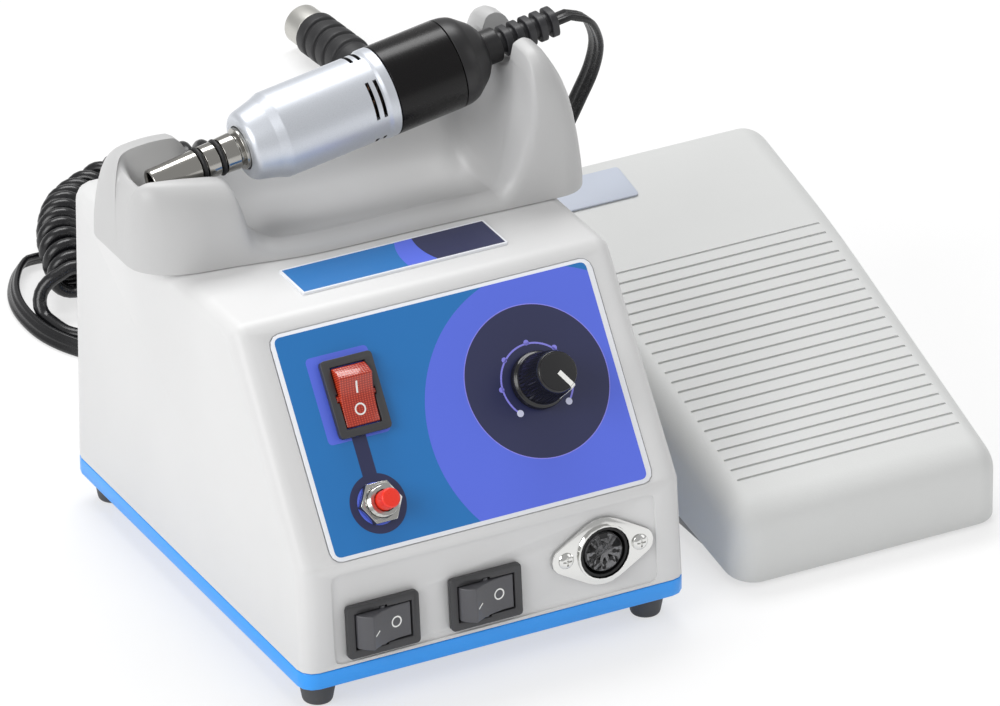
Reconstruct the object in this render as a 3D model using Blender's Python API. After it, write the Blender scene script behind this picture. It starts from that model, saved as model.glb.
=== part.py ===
"""Dental laboratory micromotor: control unit with a handpiece cradle, handpiece on a curly lead, foot pedal.

Lengths are in metres, +Z is up, and the operator faces the control unit along +Y.
Most places are written in the control unit's frame, whose origin is on the table below the middle
of the front face. The unit_frame empty then moves everything so that the origin lies on the table,
below the middle of the whole set without its cord.
"""
import math

import bmesh
import bpy
import numpy as np
from mathutils import Matrix, Vector

# Clearances that every piece shares
SEAT_GAP = 0.0003
RUN_GAP = 0.0004
CUT_OVERRUN = 0.002

# From screen colours to linear light
SRGB_SLOPE = 12.92
SRGB_KNEE = 0.04045
SRGB_SHARE = 0.055
SRGB_POWER = 2.4

# Facets
ROUND_SIDES = 24
SMALL_SIDES = 16
TINY_SIDES = 12
CORNER_STEPS = 3

# Control unit case, a thin moulding open at the bottom, in its side view (y, z)
CASE_WIDTH = 0.1134
CASE_DEPTH = 0.1385
CASE_BOTTOM = 0.0130
CASE_TOP = 0.0956
KNEE_LOW_Y = 0.0024
KNEE_LOW_Z = 0.0420
KNEE_HIGH_Y = 0.0415
CASE_WALL = 0.0025
CASE_FILLET = 0.0045
CASE_EDGE_RADIUS = 0.0050
CASE_DRAFT = 0.0009

# Blue base tray, its locating lip and its board posts
FOOT_HEIGHT = 0.0080
TRAY_FLOOR = 0.0020
TRAY_LIP_RISE = 0.0022
TRAY_LIP_THICKNESS = 0.0016
POST_RADIUS = 0.0025
POST_HEIGHT = 0.0060

# Rubber feet
FOOT_TOP_RADIUS = 0.0054
FOOT_BOTTOM_RADIUS = 0.0040
FOOT_DIMPLE_RADIUS = 0.0018
FOOT_DIMPLE_DEPTH = 0.0012
# Distances of the feet's middles from the sides, the front and the back of the case
FOOT_INSET_X = 0.0080
FOOT_INSET_FRONT = 0.0088
FOOT_INSET_BACK = 0.0070

# Printed control panel on the slope; panel places are (x, distance up the slope)
PANEL_CENTRE_X = 0.0007
PANEL_WIDTH = 0.0946
PANEL_BOTTOM = 0.0008
PANEL_HEIGHT = 0.0616
PANEL_CORNER = 0.0030
PANEL_SINK = 0.0004
FILM_THICKNESS = 0.0004
POWER_SWITCH_X = -0.0280
POWER_SWITCH_T = 0.0420
BREAKER_X = -0.0297
BREAKER_T = 0.0132
KNOB_X = 0.0235
KNOB_T = 0.0339

# Name strip on the flat top, left blank
STRIP_X = -0.0005
STRIP_Y = 0.0571
STRIP_LENGTH = 0.0578
STRIP_DEPTH = 0.0136

# Lower front: a shallow field that holds two rockers and the motor socket
FIELD_WIDTH = 0.0955
FIELD_HEIGHT = 0.0255
FIELD_T = 0.0136
FIELD_SINK = 0.0006
FIELD_CORNER = 0.0020
MODE_SWITCH_X = -0.0337
MODE_SWITCH_T = 0.00965
DIRECTION_SWITCH_X = -0.0035
DIRECTION_SWITCH_T = 0.00978
SOCKET_X = 0.0316
SOCKET_T = 0.0139

# Rocker switches, all of one size
SWITCH_LENGTH = 0.0210
SWITCH_WIDTH = 0.0150
SWITCH_CORNER = 0.0010
BEZEL_HEIGHT = 0.0018
SWITCH_BODY_LENGTH = 0.0190
SWITCH_BODY_WIDTH = 0.0126
SWITCH_BODY_DEPTH = 0.0130
SWITCH_HOLE_CLEARANCE = 0.0004
SWITCH_WALL = 0.0011
SWITCH_FLOOR = 0.0016
TAB_WIDTH = 0.0048
TAB_THICKNESS = 0.0008
TAB_LENGTH = 0.0060
TAB_SPREAD = 0.0060
ROCKER_REACH = 0.0081
ROCKER_SINK = 0.0010
ROCKER_CREST = 0.0011
ROCKER_DEPTH = 0.0035
ROCKER_TILT = math.radians(11)
ROCKER_END_ANGLE = math.radians(17)
TRUNNION_RADIUS = 0.0012

# Overload breaker
BREAKER_NECK_RADIUS = 0.0040
BREAKER_NECK_HEIGHT = 0.0050
BREAKER_BODY_SIZE = 0.0120
BREAKER_BODY_DEPTH = 0.0150
BREAKER_NUT_FLATS = 0.0105
BREAKER_NUT_HEIGHT = 0.0024
BREAKER_BUTTON_RADIUS = 0.0027
BREAKER_BUTTON_OUT = 0.0046
BREAKER_BUTTON_TRAVEL = 0.0030
BREAKER_BUTTON_TAIL = 0.0040
BREAKER_RIM_SHARE = 0.86

# Speed control: potentiometer, shaft, nut and knob
POT_BODY_RADIUS = 0.0080
POT_BODY_DEPTH = 0.0090
POT_NECK_RADIUS = 0.0045
POT_NECK_HEIGHT = 0.0025
POT_SHAFT_RADIUS = 0.0030
POT_SHAFT_LENGTH = 0.0105
POT_SHAFT_TAIL = 0.0060
POT_NUT_FLATS = 0.0108
POT_NUT_HEIGHT = 0.0018
KNOB_SKIRT_RADIUS = 0.0078
KNOB_SKIRT_HEIGHT = 0.0026
KNOB_CAP_RADIUS = 0.0068
KNOB_CAP_TOP_RADIUS = 0.0056
KNOB_HEIGHT = 0.0142
KNOB_FLUTE_DEPTH = 0.0003
KNOB_FLUTES = 18
KNOB_POCKET_RADIUS = 0.0066
KNOB_POCKET_DEPTH = 0.0024
KNOB_STAND_OFF = 0.0005
KNOB_ROOF = 0.0020

# Motor socket: chrome flange and round insert
FLANGE_LENGTH = 0.0300
FLANGE_HEIGHT = 0.0190
FLANGE_END_RADIUS = 0.0040
FLANGE_THICKNESS = 0.0009
COLLAR_RADIUS = 0.0078
COLLAR_RISE = 0.0012
INSERT_RADIUS = 0.0070
INSERT_CORE_RADIUS = 0.0054
INSERT_SLOT_RADIUS = 0.0063
INSERT_SLOT_DEPTH = 0.0060
INSERT_DEPTH = 0.0120
INSERT_FACE_SINK = 0.0005
PIN_HOLE_RADIUS = 0.0008
PIN_HOLE_DEPTH = 0.0050
PIN_CIRCLE_RADIUS = 0.0033
PIN_ANGLES = (180, 225, 270, 315, 360)
KEY_WIDTH = 0.0022
KEY_DEPTH = 0.0016

# Rear fittings, places seen from behind (x is the unit's own x, z is height)
REAR_HEIGHT = 0.0300
GLAND_X = -0.0320
GLAND_RADIUS = 0.0062
GLAND_FLANGE_RADIUS = 0.0080
GLAND_LENGTH = 0.0080
GLAND_BORE_RADIUS = 0.0034
FUSE_X = 0.0
FUSE_RADIUS = 0.0062
FUSE_CAP_RADIUS = 0.0075
FUSE_CAP_LENGTH = 0.0070
FUSE_TUBE_LENGTH = 0.0280
JACK_X = 0.0320
JACK_RADIUS = 0.0042
JACK_NUT_FLATS = 0.0110
JACK_NUT_HEIGHT = 0.0025
JACK_BORE_RADIUS = 0.0032
JACK_BODY_LENGTH = 0.0180

# Inside the case
CORE_WIDTH_SHARE = 0.406
CORE_HEIGHT = 0.0380
CORE_STACK_SHARE = 0.159
CORE_LEG_SHARE = 0.304
CORE_YOKE_SHARE = 0.163
CORE_X_SHARE = -0.203
CORE_Y_SHARE = 0.592
WINDING_SHARE = 0.80
BOARD_WIDTH_SHARE = 0.370
BOARD_DEPTH_SHARE = 0.462
BOARD_THICKNESS = 0.0016
BOARD_X_SHARE = 0.251
BOARD_Y_SHARE = 0.563
BLOCK_SIZE = 0.0100
BLOCK_HEIGHT = 0.0090
CAPACITOR_RADIUS = 0.0060
CAPACITOR_HEIGHT = 0.0200
CAPACITOR_MARGIN = 0.0040
SINK_WIDTH = 0.0300
SINK_BASE = 0.0030
SINK_FIN_DEPTH = 0.0090
SINK_FIN_THICKNESS = 0.0018
SINK_HEIGHT = 0.0240
SINK_FINS = 5
SINK_CLEARANCE = 0.0020

# Handpiece cradle on the flat top: a lofted moulding with a rest at each end.
# Shares along are of its length from the left; height shares are of the horn height.
CRADLE_LENGTH = 0.1287
CRADLE_WIDTH = 0.0440
CRADLE_LEFT_X = -0.0644
CRADLE_Y = 0.0885
CRADLE_FRONT_CORNERS = (0.0180, 0.0090)
CRADLE_BACK_CORNERS = (0.0060, 0.0070)
HORN_HEIGHT = 0.0420
FRONT_CREST_SHARES = (
    (0, 0.07), (0.004, 0.34), (0.012, 0.47), (0.026, 0.545), (0.05, 0.57), (0.08, 0.568),
    (0.15, 0.545), (0.196, 0.52), (0.209, 0.49), (0.223, 0.38), (0.2315, 0.27), (0.2424, 0.2),
    (0.2696, 0.13), (0.308, 0.1), (0.46, 0.086), (0.623, 0.1), (0.732, 0.09), (0.783, 0.095),
    (0.81, 0.18), (0.826, 0.286), (0.841, 0.43), (0.857, 0.64), (0.866, 0.857), (0.875, 0.964),
    (0.895, 0.988), (0.914, 0.964), (0.931, 0.893), (0.961, 0.714), (0.977, 0.5), (0.988, 0.286),
    (1, 0.07))
BACK_CREST_SHARES = (
    (0, 0.07), (0.003, 0.38), (0.01, 0.53), (0.0256, 0.62), (0.0606, 0.66), (0.107, 0.67),
    (0.151, 0.66), (0.169, 0.62), (0.186, 0.53), (0.211, 0.43), (0.258, 0.333), (0.336, 0.286),
    (0.491, 0.286), (0.646, 0.298), (0.779, 0.333), (0.826, 0.476), (0.849, 0.667), (0.865, 0.881),
    (0.879, 0.988), (0.895, 1), (0.914, 0.976), (0.93, 0.905), (0.961, 0.738), (0.977, 0.524),
    (0.988, 0.31), (1, 0.07))
GROOVE_FLOOR_SHARES = (
    (0, 0.06), (0.008, 0.4), (0.018, 0.51), (0.03, 0.53), (0.038, 0.5), (0.046, 0.4),
    (0.053, 0.372), (0.12, 0.4), (0.196, 0.43), (0.211, 0.31), (0.2315, 0.18), (0.258, 0.09),
    (0.297, 0.052), (0.399, 0.05), (0.732, 0.052), (0.783, 0.075), (0.81, 0.14), (0.826, 0.24),
    (0.841, 0.4), (0.853, 0.6), (0.863, 0.755), (0.877, 0.772), (0.93, 0.792), (1, 0.06))
# Distances from the groove's middle to the two crests, and of the lowest line from the middle,
# as shares of the half width
FRONT_REACH_SHARES = (
    (0, 0.3), (0.04, 0.36), (0.2, 0.38), (0.258, 0.62), (0.297, 0.74), (0.78, 0.74), (0.838, 0.5),
    (0.868, 0.31), (1, 0.3))
BACK_REACH_SHARES = (
    (0, 0.24), (0.04, 0.4), (0.2, 0.42), (0.258, 0.66), (0.297, 0.76), (0.78, 0.76), (0.838, 0.54),
    (0.868, 0.42), (1, 0.38))
LOWEST_LINE_SHARES = (
    (0, 0), (0.195, 0), (0.297, -0.42), (0.732, -0.42), (0.828, 0), (1, 0))
GROOVE_ROUNDNESS_SHARES = (
    (0, 0.5), (0.195, 0.5), (0.297, 1), (0.78, 1), (0.858, 0.5), (1, 0.5))
FULLNESS_SHARES = (
    (0, 2.4), (0.204, 2.7), (0.302, 2.2), (0.789, 2.2), (0.858, 4), (1, 3))
GROOVE_LIMIT_SHARE = 0.97
FRONT_WIDTH_SHARES = ((0, 0.66), (0.118, 0.69), (0.39, 0.905), (0.67, 0.94), (0.887, 0.99), (1, 1))
SECTION_STEPS = 5
EXTRA_STATION_SHARES = (0.376, 0.557, 0.68)
CRADLE_POCKET_SHARES = ((0.075, 0.170, 0.27), (0.865, 0.920, 0.48))
POCKET_DEPTH_SHARE = 0.50
REST_CLEARANCE = 0.0004

# Handpiece, places along its axis from the tip
TIP_X = -0.0557
TIP_Z = 0.1167
HAND_TILT = math.radians(9.4)
NOSE_TIP_RADIUS = 0.0040
NOSE_BORE = 0.0031
RING_1_AT = 0.0144
RING_1_RADIUS = 0.0046
RING_2_AT = 0.0198
RING_2_RADIUS = 0.0048
RING_SECTION = 0.0006
NOSE_NECK_AT = 0.0247
NOSE_NECK_RADIUS = 0.0045
NOSE_COLLAR_AT = 0.0258
NOSE_COLLAR_RADIUS = 0.0058
NOSE_FLANGE_RADIUS = 0.0070
HOUSING_FRONT = 0.0268
HOUSING_FRONT_RADIUS = 0.0092
HOUSING_FRONT_WALL = 0.0014
HOUSING_CONE_END = 0.0364
HOUSING_CHAMFER_AT = 0.0337
HOUSING_CHAMFER_RADIUS = 0.0109
HOUSING_FLARE = (0.0651, 0.0661)
HOUSING_REAR = 0.0685
BODY_RADIUS = 0.0124
BODY_BORE = 0.0106
CONE_RADIUS = 0.0119
SEAT_END = 0.0378
BEARING_RADIUS = 0.0055
BEARING_WIDTH = 0.0040
BEARING_AT = 0.0333
SHAFT_RADIUS = 0.0015
DRIVE_RADIUS = 0.0012
DRIVE_FRONT = 0.0035
DRIVE_SLOT = 0.0007
VENT_PLACES = (0.0619, 0.0642)
VENT_WIDTH = 0.0010
VENT_ARC = math.radians(52)
VENT_START = math.radians(23.3)
VENT_COLUMNS = 4
MAGNET_BORE = 0.0082
MAGNET_START = 0.0410
MAGNET_END = 0.0590
ARMATURE_RADIUS = 0.0076
ARMATURE_START = 0.0420
ARMATURE_END = 0.0580
ARMATURE_SLOTS = 7
ARMATURE_SLOT_DEPTH = 0.0030
ARMATURE_SLOT_MOUTH_SHARE = 0.12
ARMATURE_SLOT_FLOOR_SHARE = 0.24
COMMUTATOR_RADIUS = 0.0036
COMMUTATOR_START = 0.0665
COMMUTATOR_END = 0.0745
BRUSH_WIDTH = 0.0024
BRUSH_LENGTH_ON_AXIS = 0.0034
BRUSH_AT = 0.0705
BRUSH_OUT = 0.0090
HOLDER_START = 0.0657
HOLDER_END = 0.0757
HOLDER_BORE = 0.0056
SLEEVE_END = 0.0882
WEB_START = 0.0785
REAR_BEARING_AT = 0.0788
WEB_LIP = 0.0010
WEB_LIP_BORE = 0.0026
SHAFT_END = 0.0845
CAP_SHOULDER = 0.0933
CAP_SHOULDER_RADIUS = 0.0115
CAP_END = 0.0975
CAP_END_RADIUS = 0.0080
CAP_NECK_RADIUS = 0.0048
CAP_NECK_END = 0.1036
CAP_INNER_RADIUS = 0.0090
CAP_INNER_DEPTH = 0.0938
CAP_BORE = 0.0031
RELIEF_PLUG_RADIUS = 0.0027
RELIEF_PLUG_START = 0.0960
RELIEF_END = 0.1210
RELIEF_RADIUS = 0.0038
RELIEF_GROOVE_RADIUS = 0.0029
RELIEF_RIBS = 5
RELIEF_SQUARENESS = 3.2
RIB_SHARE = 0.60

# Foot pedal, in the unit's frame
PEDAL_LEFT = 0.0758
PEDAL_WIDTH = 0.0810
PEDAL_FRONT = 0.0080
PEDAL_BACK = 0.1430
PEDAL_FRONT_HEIGHT = 0.0216
PEDAL_KNEE_Y = 0.0996
PEDAL_KNEE_Z = 0.0510
PEDAL_BACK_HEIGHT = 0.0600
PEDAL_RIM = 0.0010
PEDAL_WALL = 0.0025
PEDAL_EDGE_RADIUS = 0.0070
PEDAL_FILLET = 0.0060
PEDAL_SWING = math.radians(8)
PEDAL_PIN_Y = 0.0180
PEDAL_PIN_Z = 0.0090
PEDAL_PIN_RADIUS = 0.0020
RIM_RISE_ANGLE = math.radians(9.2)
TREAD_LINES = 22
TREAD_FIRST_Y = 0.0195
TREAD_LAST_Y = 0.0972
TREAD_LINE_LENGTH = 0.0680
TREAD_LINE_WIDTH = 0.0008
TREAD_LINE_DEPTH = 0.0005
PAN_SIDE_CLEARANCE = 0.0010
PAN_FRONT = 0.0130
PAN_BACK = 0.1375
PAN_THICKNESS = 0.0030
PAN_CORNER = 0.0040
EAR_THICKNESS = 0.0050
EAR_RADIUS = 0.0046
EAR_SPREAD = 0.0260
SPRING_Y = 0.1100
SPRING_RADIUS = 0.0062
SPRING_WIRE = 0.0016
SPRING_TURNS = 6
SPRING_POINTS_A_TURN = 9
SPRING_TOP = 0.0300
SPRING_GUIDE_RADIUS = 0.0044
SPRING_GUIDE_HEIGHT = 0.0050
SLIDER_Y = 0.0850
SLIDER_RADIUS = 0.0030
SLIDER_TOP = 0.0307
SLIDER_LENGTH = 0.0160
RESISTOR_WIDTH = 0.0150
RESISTOR_HEIGHT = 0.0165
RESISTOR_FLOOR = 0.0010
BOSS_RADIUS = 0.0045
LABEL_RIGHT = 0.1090
LABEL_LENGTH = 0.0260
LABEL_BACK = 0.1372
LABEL_DEPTH = 0.0130
LABEL_THICKNESS = 0.0005

# Cord
CORD_DIAMETER = 0.0040
CORD_REST = 0.00205
CORD_STEP = 0.0095
COIL_RADIUS = 0.0050
COIL_PITCH = 0.0053
COIL_STRETCH = 0.0026
COIL_STRETCH_AT_SHARE = 0.50
COIL_STRETCH_SPAN_SHARE = 0.16
COIL_POINTS_A_TURN = 9
COIL_START_ANGLE = math.radians(50)
COIL_END_ANGLE = math.radians(-60)
CORD_POINTS = (
    (0.0735, 0.0892, 0.1346), (0.0773, 0.0917, 0.1294), (0.0799, 0.0948, 0.1226),
    (0.0808, 0.0995, 0.1132), (0.0792, 0.1035, 0.1035), (0.0770, 0.1080, 0.0925),
    (0.0732, 0.1140, 0.0780), (0.0700, 0.1210, 0.0615), (0.0683, 0.1300, 0.0430),
    (0.0686, 0.1400, 0.0255), (0.0710, 0.1505, 0.0118), (0.0750, 0.1615, 0.0045),
    (0.0788, 0.1740, CORD_REST), (0.0796, 0.1920, CORD_REST), (0.0760, 0.2125, CORD_REST),
    (0.0660, 0.2320, CORD_REST), (0.0485, 0.2465, CORD_REST), (0.0275, 0.2555, CORD_REST),
    (0.0068, 0.2594, CORD_REST), (-0.0100, 0.2623, CORD_REST), (-0.0157, 0.2596, CORD_REST),
    (-0.0212, 0.2519, CORD_REST), (-0.0246, 0.2443, CORD_REST), (-0.0265, 0.2357, CORD_REST),
    (-0.0268, 0.2260, CORD_REST), (-0.0256, 0.2184, CORD_REST), (-0.0227, 0.2109, CORD_REST),
    (-0.0172, 0.2024, CORD_REST), (-0.0092, 0.1949, CORD_REST), (0.0028, 0.1899, CORD_REST),
    (0.0158, 0.1889, CORD_REST), (0.0258, 0.1924, CORD_REST), (0.0303, 0.1999, CORD_REST),
    (0.0273, 0.2079, CORD_REST), (0.0178, 0.2119, CORD_REST), (0.0048, 0.2119, CORD_REST),
    (-0.0072, 0.2109, CORD_REST), (-0.0157, 0.2132, CORD_REST), (-0.0200, 0.2174, CORD_REST),
    (-0.0213, 0.2214, CORD_REST), (-0.0217, 0.2249, CORD_REST))
COIL_LEAD_IN = (
    (-0.0221, 0.2284, CORD_REST), (-0.0226, 0.2311, 0.0036), (-0.0222, 0.2328, 0.0060),
    (-0.0208, 0.2336, 0.0086), (-0.0183, 0.2333, 0.0111))
COIL_AXIS = (
    (-0.0118, 0.2325, 0.0088), (-0.0103, 0.2376, 0.0095), (-0.0090, 0.2434, 0.0108), (-0.0070, 0.2499, 0.0116),
    (-0.0042, 0.2564, 0.0117), (-0.0000, 0.2637, 0.0115), (0.0051, 0.2712, 0.0100),
    (0.0124, 0.2783, 0.0083), (0.0219, 0.2845, 0.0073), (0.0299, 0.2875, 0.0072),
    (0.0397, 0.2871, 0.0072), (0.0494, 0.2844, 0.0072), (0.0597, 0.2814, 0.0072),
    (0.0707, 0.2791, 0.0072), (0.0827, 0.2779, 0.0072))
COIL_LEAD_OUT = (
    (0.0890, 0.2760, CORD_REST), (0.0970, 0.2750, CORD_REST), (0.1080, 0.2762, CORD_REST),
    (0.1130, 0.2788, CORD_REST), (0.1185, 0.2838, CORD_REST), (0.1208, 0.2910, CORD_REST),
    (0.1207, 0.2990, 0.0030))

# Plug on the cord's end, lying on the table
PLUG_TIP = (0.1183, 0.3495)
PLUG_ANGLE = math.radians(94)
PLUG_LENGTH = 0.0390
SHELL_LENGTH = 0.0070
SHELL_RADIUS = 0.0060
SHELL_WALL = 0.0007
SHELL_BASE = 0.0030
GRIP_RADIUS = 0.0068
GRIP_GROOVE_RADIUS = 0.0060
GRIP_REAR_RADIUS = 0.0042
GRIP_RIBS = 4
GRIP_RIB_LENGTH = 0.0040
GRIP_RIB_GAP = 0.0014
PLUG_PIN_RADIUS = 0.0007
PLUG_PIN_LENGTH = 0.0058


def clear_scene():
    for thing in list(bpy.data.objects):
        bpy.data.objects.remove(thing)


def frame(name, parent, location, rotation=None):
    """An empty that carries pieces; rotation is a 3 x 3 matrix."""
    empty = bpy.data.objects.new(name, None)
    bpy.context.collection.objects.link(empty)
    empty.parent = parent
    matrix = rotation.to_4x4() if rotation else Matrix.Identity(4)
    matrix.translation = location
    empty.matrix_local = matrix
    return empty


def from_bmesh(name, bm):
    bmesh.ops.recalc_face_normals(bm, faces=bm.faces)
    mesh = bpy.data.meshes.new(name)
    bm.to_mesh(mesh)
    bm.free()
    thing = bpy.data.objects.new(name, mesh)
    bpy.context.collection.objects.link(thing)
    return thing


def carve(target, tool, operation="DIFFERENCE"):
    """Cut the tool out of the target, or join it on, and drop the tool."""
    modifier = target.modifiers.new("carve", "BOOLEAN")
    modifier.operation = operation
    modifier.solver = "EXACT"
    modifier.object = tool
    bpy.context.view_layer.update()
    graph = bpy.context.evaluated_depsgraph_get()
    mesh = bpy.data.meshes.new_from_object(target.evaluated_get(graph))
    target.modifiers.clear()
    old_meshes = (target.data, tool.data)
    target.data = mesh
    bpy.data.objects.remove(tool)
    for old in old_meshes:
        bpy.data.meshes.remove(old)
    return target


def join_on(target, tool):
    return carve(target, tool, "UNION")


def finish(thing, parent, colour, roughness, metallic=0.0, sharp_angle=math.radians(32)):
    """Hang the piece on its frame, shade it and give it its own material."""
    material = bpy.data.materials.new(thing.name + "_material")
    material.use_nodes = True
    shader = material.node_tree.nodes["Principled BSDF"]
    parts = [int(colour[k:k + 2], 16) / 255 for k in (0, 2, 4)]
    linear = [part / SRGB_SLOPE if part <= SRGB_KNEE else ((part + SRGB_SHARE) / (1 + SRGB_SHARE)) ** SRGB_POWER
              for part in parts]
    shader.inputs["Base Color"].default_value = (*linear, 1)
    shader.inputs["Roughness"].default_value = roughness
    shader.inputs["Metallic"].default_value = metallic
    thing.data.materials.clear()
    thing.data.materials.append(material)
    if thing.type == "MESH":
        thing.data.shade_smooth()
        thing.data.set_sharp_from_angle(angle=sharp_angle)
    thing.parent = parent
    return thing


def skin(name, rings, closed=False):
    """A solid through rings of equal point counts, capped at both ends unless the rings close up."""
    bm = bmesh.new()
    rows = [[bm.verts.new(point) for point in ring] for ring in rings]
    count = len(rows[0])
    pairs = list(zip(rows, rows[1:] + rows[:1])) if closed else list(zip(rows, rows[1:]))
    for low, high in pairs:
        for k in range(count):
            after = (k + 1) % count
            bm.faces.new((low[k], low[after], high[after], high[k]))
    if not closed:
        bm.faces.new(rows[0])
        bm.faces.new(rows[-1])
    return from_bmesh(name, bm)


def prism(name, outline, low, high):
    """The outline (x, y) extruded along Z."""
    return skin(name, [[(x, y, z) for x, y in outline] for z in (low, high)])


def block(name, low, high):
    outline = ((low[0], low[1]), (high[0], low[1]), (high[0], high[1]), (low[0], high[1]))
    return prism(name, outline, low[2], high[2])


def arc_points(radius, start, end, steps, centre=(0, 0)):
    angles = [start + (end - start) * k / steps for k in range(steps + 1)]
    return [(centre[0] + radius * math.cos(a), centre[1] + radius * math.sin(a)) for a in angles]


def circle(radius, sides, centre=(0, 0)):
    return arc_points(radius, 0, 2 * math.pi, sides, centre)[:-1]


def hexagon(flats):
    return circle(flats / math.sqrt(3), 6)


def rounded(points, radii, steps=CORNER_STEPS):
    """Replace each corner of a polygon by an arc of its radius; a radius of zero keeps the corner."""
    result = []
    for k, corner in enumerate(points):
        if not radii[k]:
            result.append(tuple(corner))
            continue
        here = Vector(corner)
        before = (Vector(points[k - 1]) - here).normalized()
        after = (Vector(points[(k + 1) % len(points)]) - here).normalized()
        half = before.angle(after) / 2
        reach = radii[k] / math.tan(half)
        centre = here + (before + after).normalized() * radii[k] / math.sin(half)
        start = here + before * reach - centre
        end = here + after * reach - centre
        turn = start.angle_signed(end)
        for step in range(steps + 1):
            spoke = start.copy()
            spoke.rotate(Matrix.Rotation(-turn * step / steps, 2))
            result.append(tuple(centre + spoke))
    return result


def rounded_rectangle(width, height, radius, centre=(0, 0), steps=CORNER_STEPS):
    x, y = width / 2, height / 2
    corners = [(centre[0] + a * x, centre[1] + b * y) for a, b in ((-1, -1), (1, -1), (1, 1), (-1, 1))]
    return rounded(corners, [radius] * 4, steps)


def inset(points, distance):
    """Move each side of an anticlockwise polygon inwards."""
    lines = []
    for k, point in enumerate(points):
        start, end = Vector(point), Vector(points[(k + 1) % len(points)])
        along = (end - start).normalized()
        lines.append((start + Vector((-along.y, along.x)) * distance, along))
    result = []
    for k, (point, along) in enumerate(lines):
        last_point, last_along = lines[k - 1]
        cross = last_along.x * along.y - last_along.y * along.x
        offset = point - last_point
        reach = (offset.x * along.y - offset.y * along.x) / cross
        result.append(tuple(last_point + last_along * reach))
    return result


def lathe(name, profile, sides, along_x=False):
    """Turn a closed profile of (radius, height) about Z, or about X for the handpiece and plug."""
    bm = bmesh.new()
    columns = []
    for k in range(sides):
        angle = 2 * math.pi * k / sides
        column = []
        for index, (radius, height) in enumerate(profile):
            if radius == 0 and columns:
                column.append(columns[0][index])
                continue
            x, y = radius * math.cos(angle), radius * math.sin(angle)
            column.append(bm.verts.new((height, x, y) if along_x else (x, y, height)))
        columns.append(column)
    for k in range(sides):
        here, there = columns[k], columns[(k + 1) % sides]
        for index in range(len(profile)):
            after = (index + 1) % len(profile)
            corners = []
            for vertex in (here[index], here[after], there[after], there[index]):
                if vertex not in corners:
                    corners.append(vertex)
            if len(corners) > 2:
                bm.faces.new(corners)
    return from_bmesh(name, bm)


def turned(name, steps, sides):
    """A handpiece part: steps are (place along the axis, radius)."""
    return lathe(name, [(radius, place) for place, radius in steps], sides, along_x=True)


def moved(thing, matrix):
    thing.data.transform(matrix)
    return thing


def smooth_through(shares, at):
    """A monotone curve through (place, value) pairs, read at one place."""
    places = np.array([s[0] for s in shares], dtype=float)
    values = np.array([s[1] for s in shares], dtype=float)
    slopes = np.diff(values) / np.diff(places)
    ends = np.zeros(len(places))
    for k in range(1, len(places) - 1):
        if slopes[k - 1] * slopes[k] > 0:
            ends[k] = 2 * slopes[k - 1] * slopes[k] / (slopes[k - 1] + slopes[k])
    ends[0], ends[-1] = slopes[0], slopes[-1]
    k = int(np.clip(np.searchsorted(places, at) - 1, 0, len(slopes) - 1))
    run = places[k + 1] - places[k]
    t = (at - places[k]) / run
    return float((1 + 2 * t) * (1 - t) ** 2 * values[k] + t * (1 - t) ** 2 * run * ends[k]
                 + t * t * (3 - 2 * t) * values[k + 1] + t * t * (t - 1) * run * ends[k + 1])


def smooth_route(points, step):
    """A rounded curve through chosen points, read at about equal steps."""
    points = [np.array(p, dtype=float) for p in points]
    padded = [2 * points[0] - points[1]] + points + [2 * points[-1] - points[-2]]
    dense = []
    for a, b, c, d in zip(padded, padded[1:], padded[2:], padded[3:]):
        for t in np.linspace(0, 1, 24, endpoint=False):
            dense.append(0.5 * (2 * b + (c - a) * t + (2 * a - 5 * b + 4 * c - d) * t ** 2
                                + (3 * b - a - 3 * c + d) * t ** 3))
    dense = np.array(dense + [points[-1]])
    lengths = np.concatenate([[0], np.cumsum(np.linalg.norm(np.diff(dense, axis=0), axis=1))])
    places = np.linspace(0, lengths[-1], max(2, round(lengths[-1] / step) + 1))
    return np.stack([np.interp(places, lengths, dense[:, k]) for k in range(3)], axis=1)


def tube(name, points, diameter, bevel_resolution):
    curve = bpy.data.curves.new(name, "CURVE")
    curve.dimensions = "3D"
    curve.bevel_depth = diameter / 2
    curve.bevel_resolution = bevel_resolution
    curve.use_fill_caps = True
    spline = curve.splines.new("POLY")
    spline.points.add(len(points) - 1)
    for point, place in zip(spline.points, points):
        point.co = (*place, 1)
    thing = bpy.data.objects.new(name, curve)
    bpy.context.collection.objects.link(thing)
    return thing


def least_gap(points, diameter, neighbours):
    """The least free space between stretches of a tube that aren't next to each other."""
    points = np.array(points)
    least = math.inf
    for k in range(len(points) - 1):
        start, run = points[k], points[k + 1] - points[k]
        others = points[k + 1 + neighbours:]
        if len(others):
            t = np.clip((others - start) @ run / (run @ run), 0, 1)
            least = min(least, np.linalg.norm(others - (start + t[:, None] * run), axis=1).min())
    return least - diameter


def case_profile(shrink):
    points = inset([(0, CASE_BOTTOM), (CASE_DEPTH, CASE_BOTTOM), (CASE_DEPTH, CASE_TOP),
                    (KNEE_HIGH_Y, CASE_TOP), (KNEE_LOW_Y, KNEE_LOW_Z)], shrink)
    bottom = CASE_BOTTOM - (CUT_OVERRUN if shrink else 0)
    points[0] = (points[0][0], bottom)
    points[1] = (points[1][0], bottom)
    edge = CASE_EDGE_RADIUS - shrink
    return rounded(points, [0, 0, edge, edge, edge])


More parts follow.
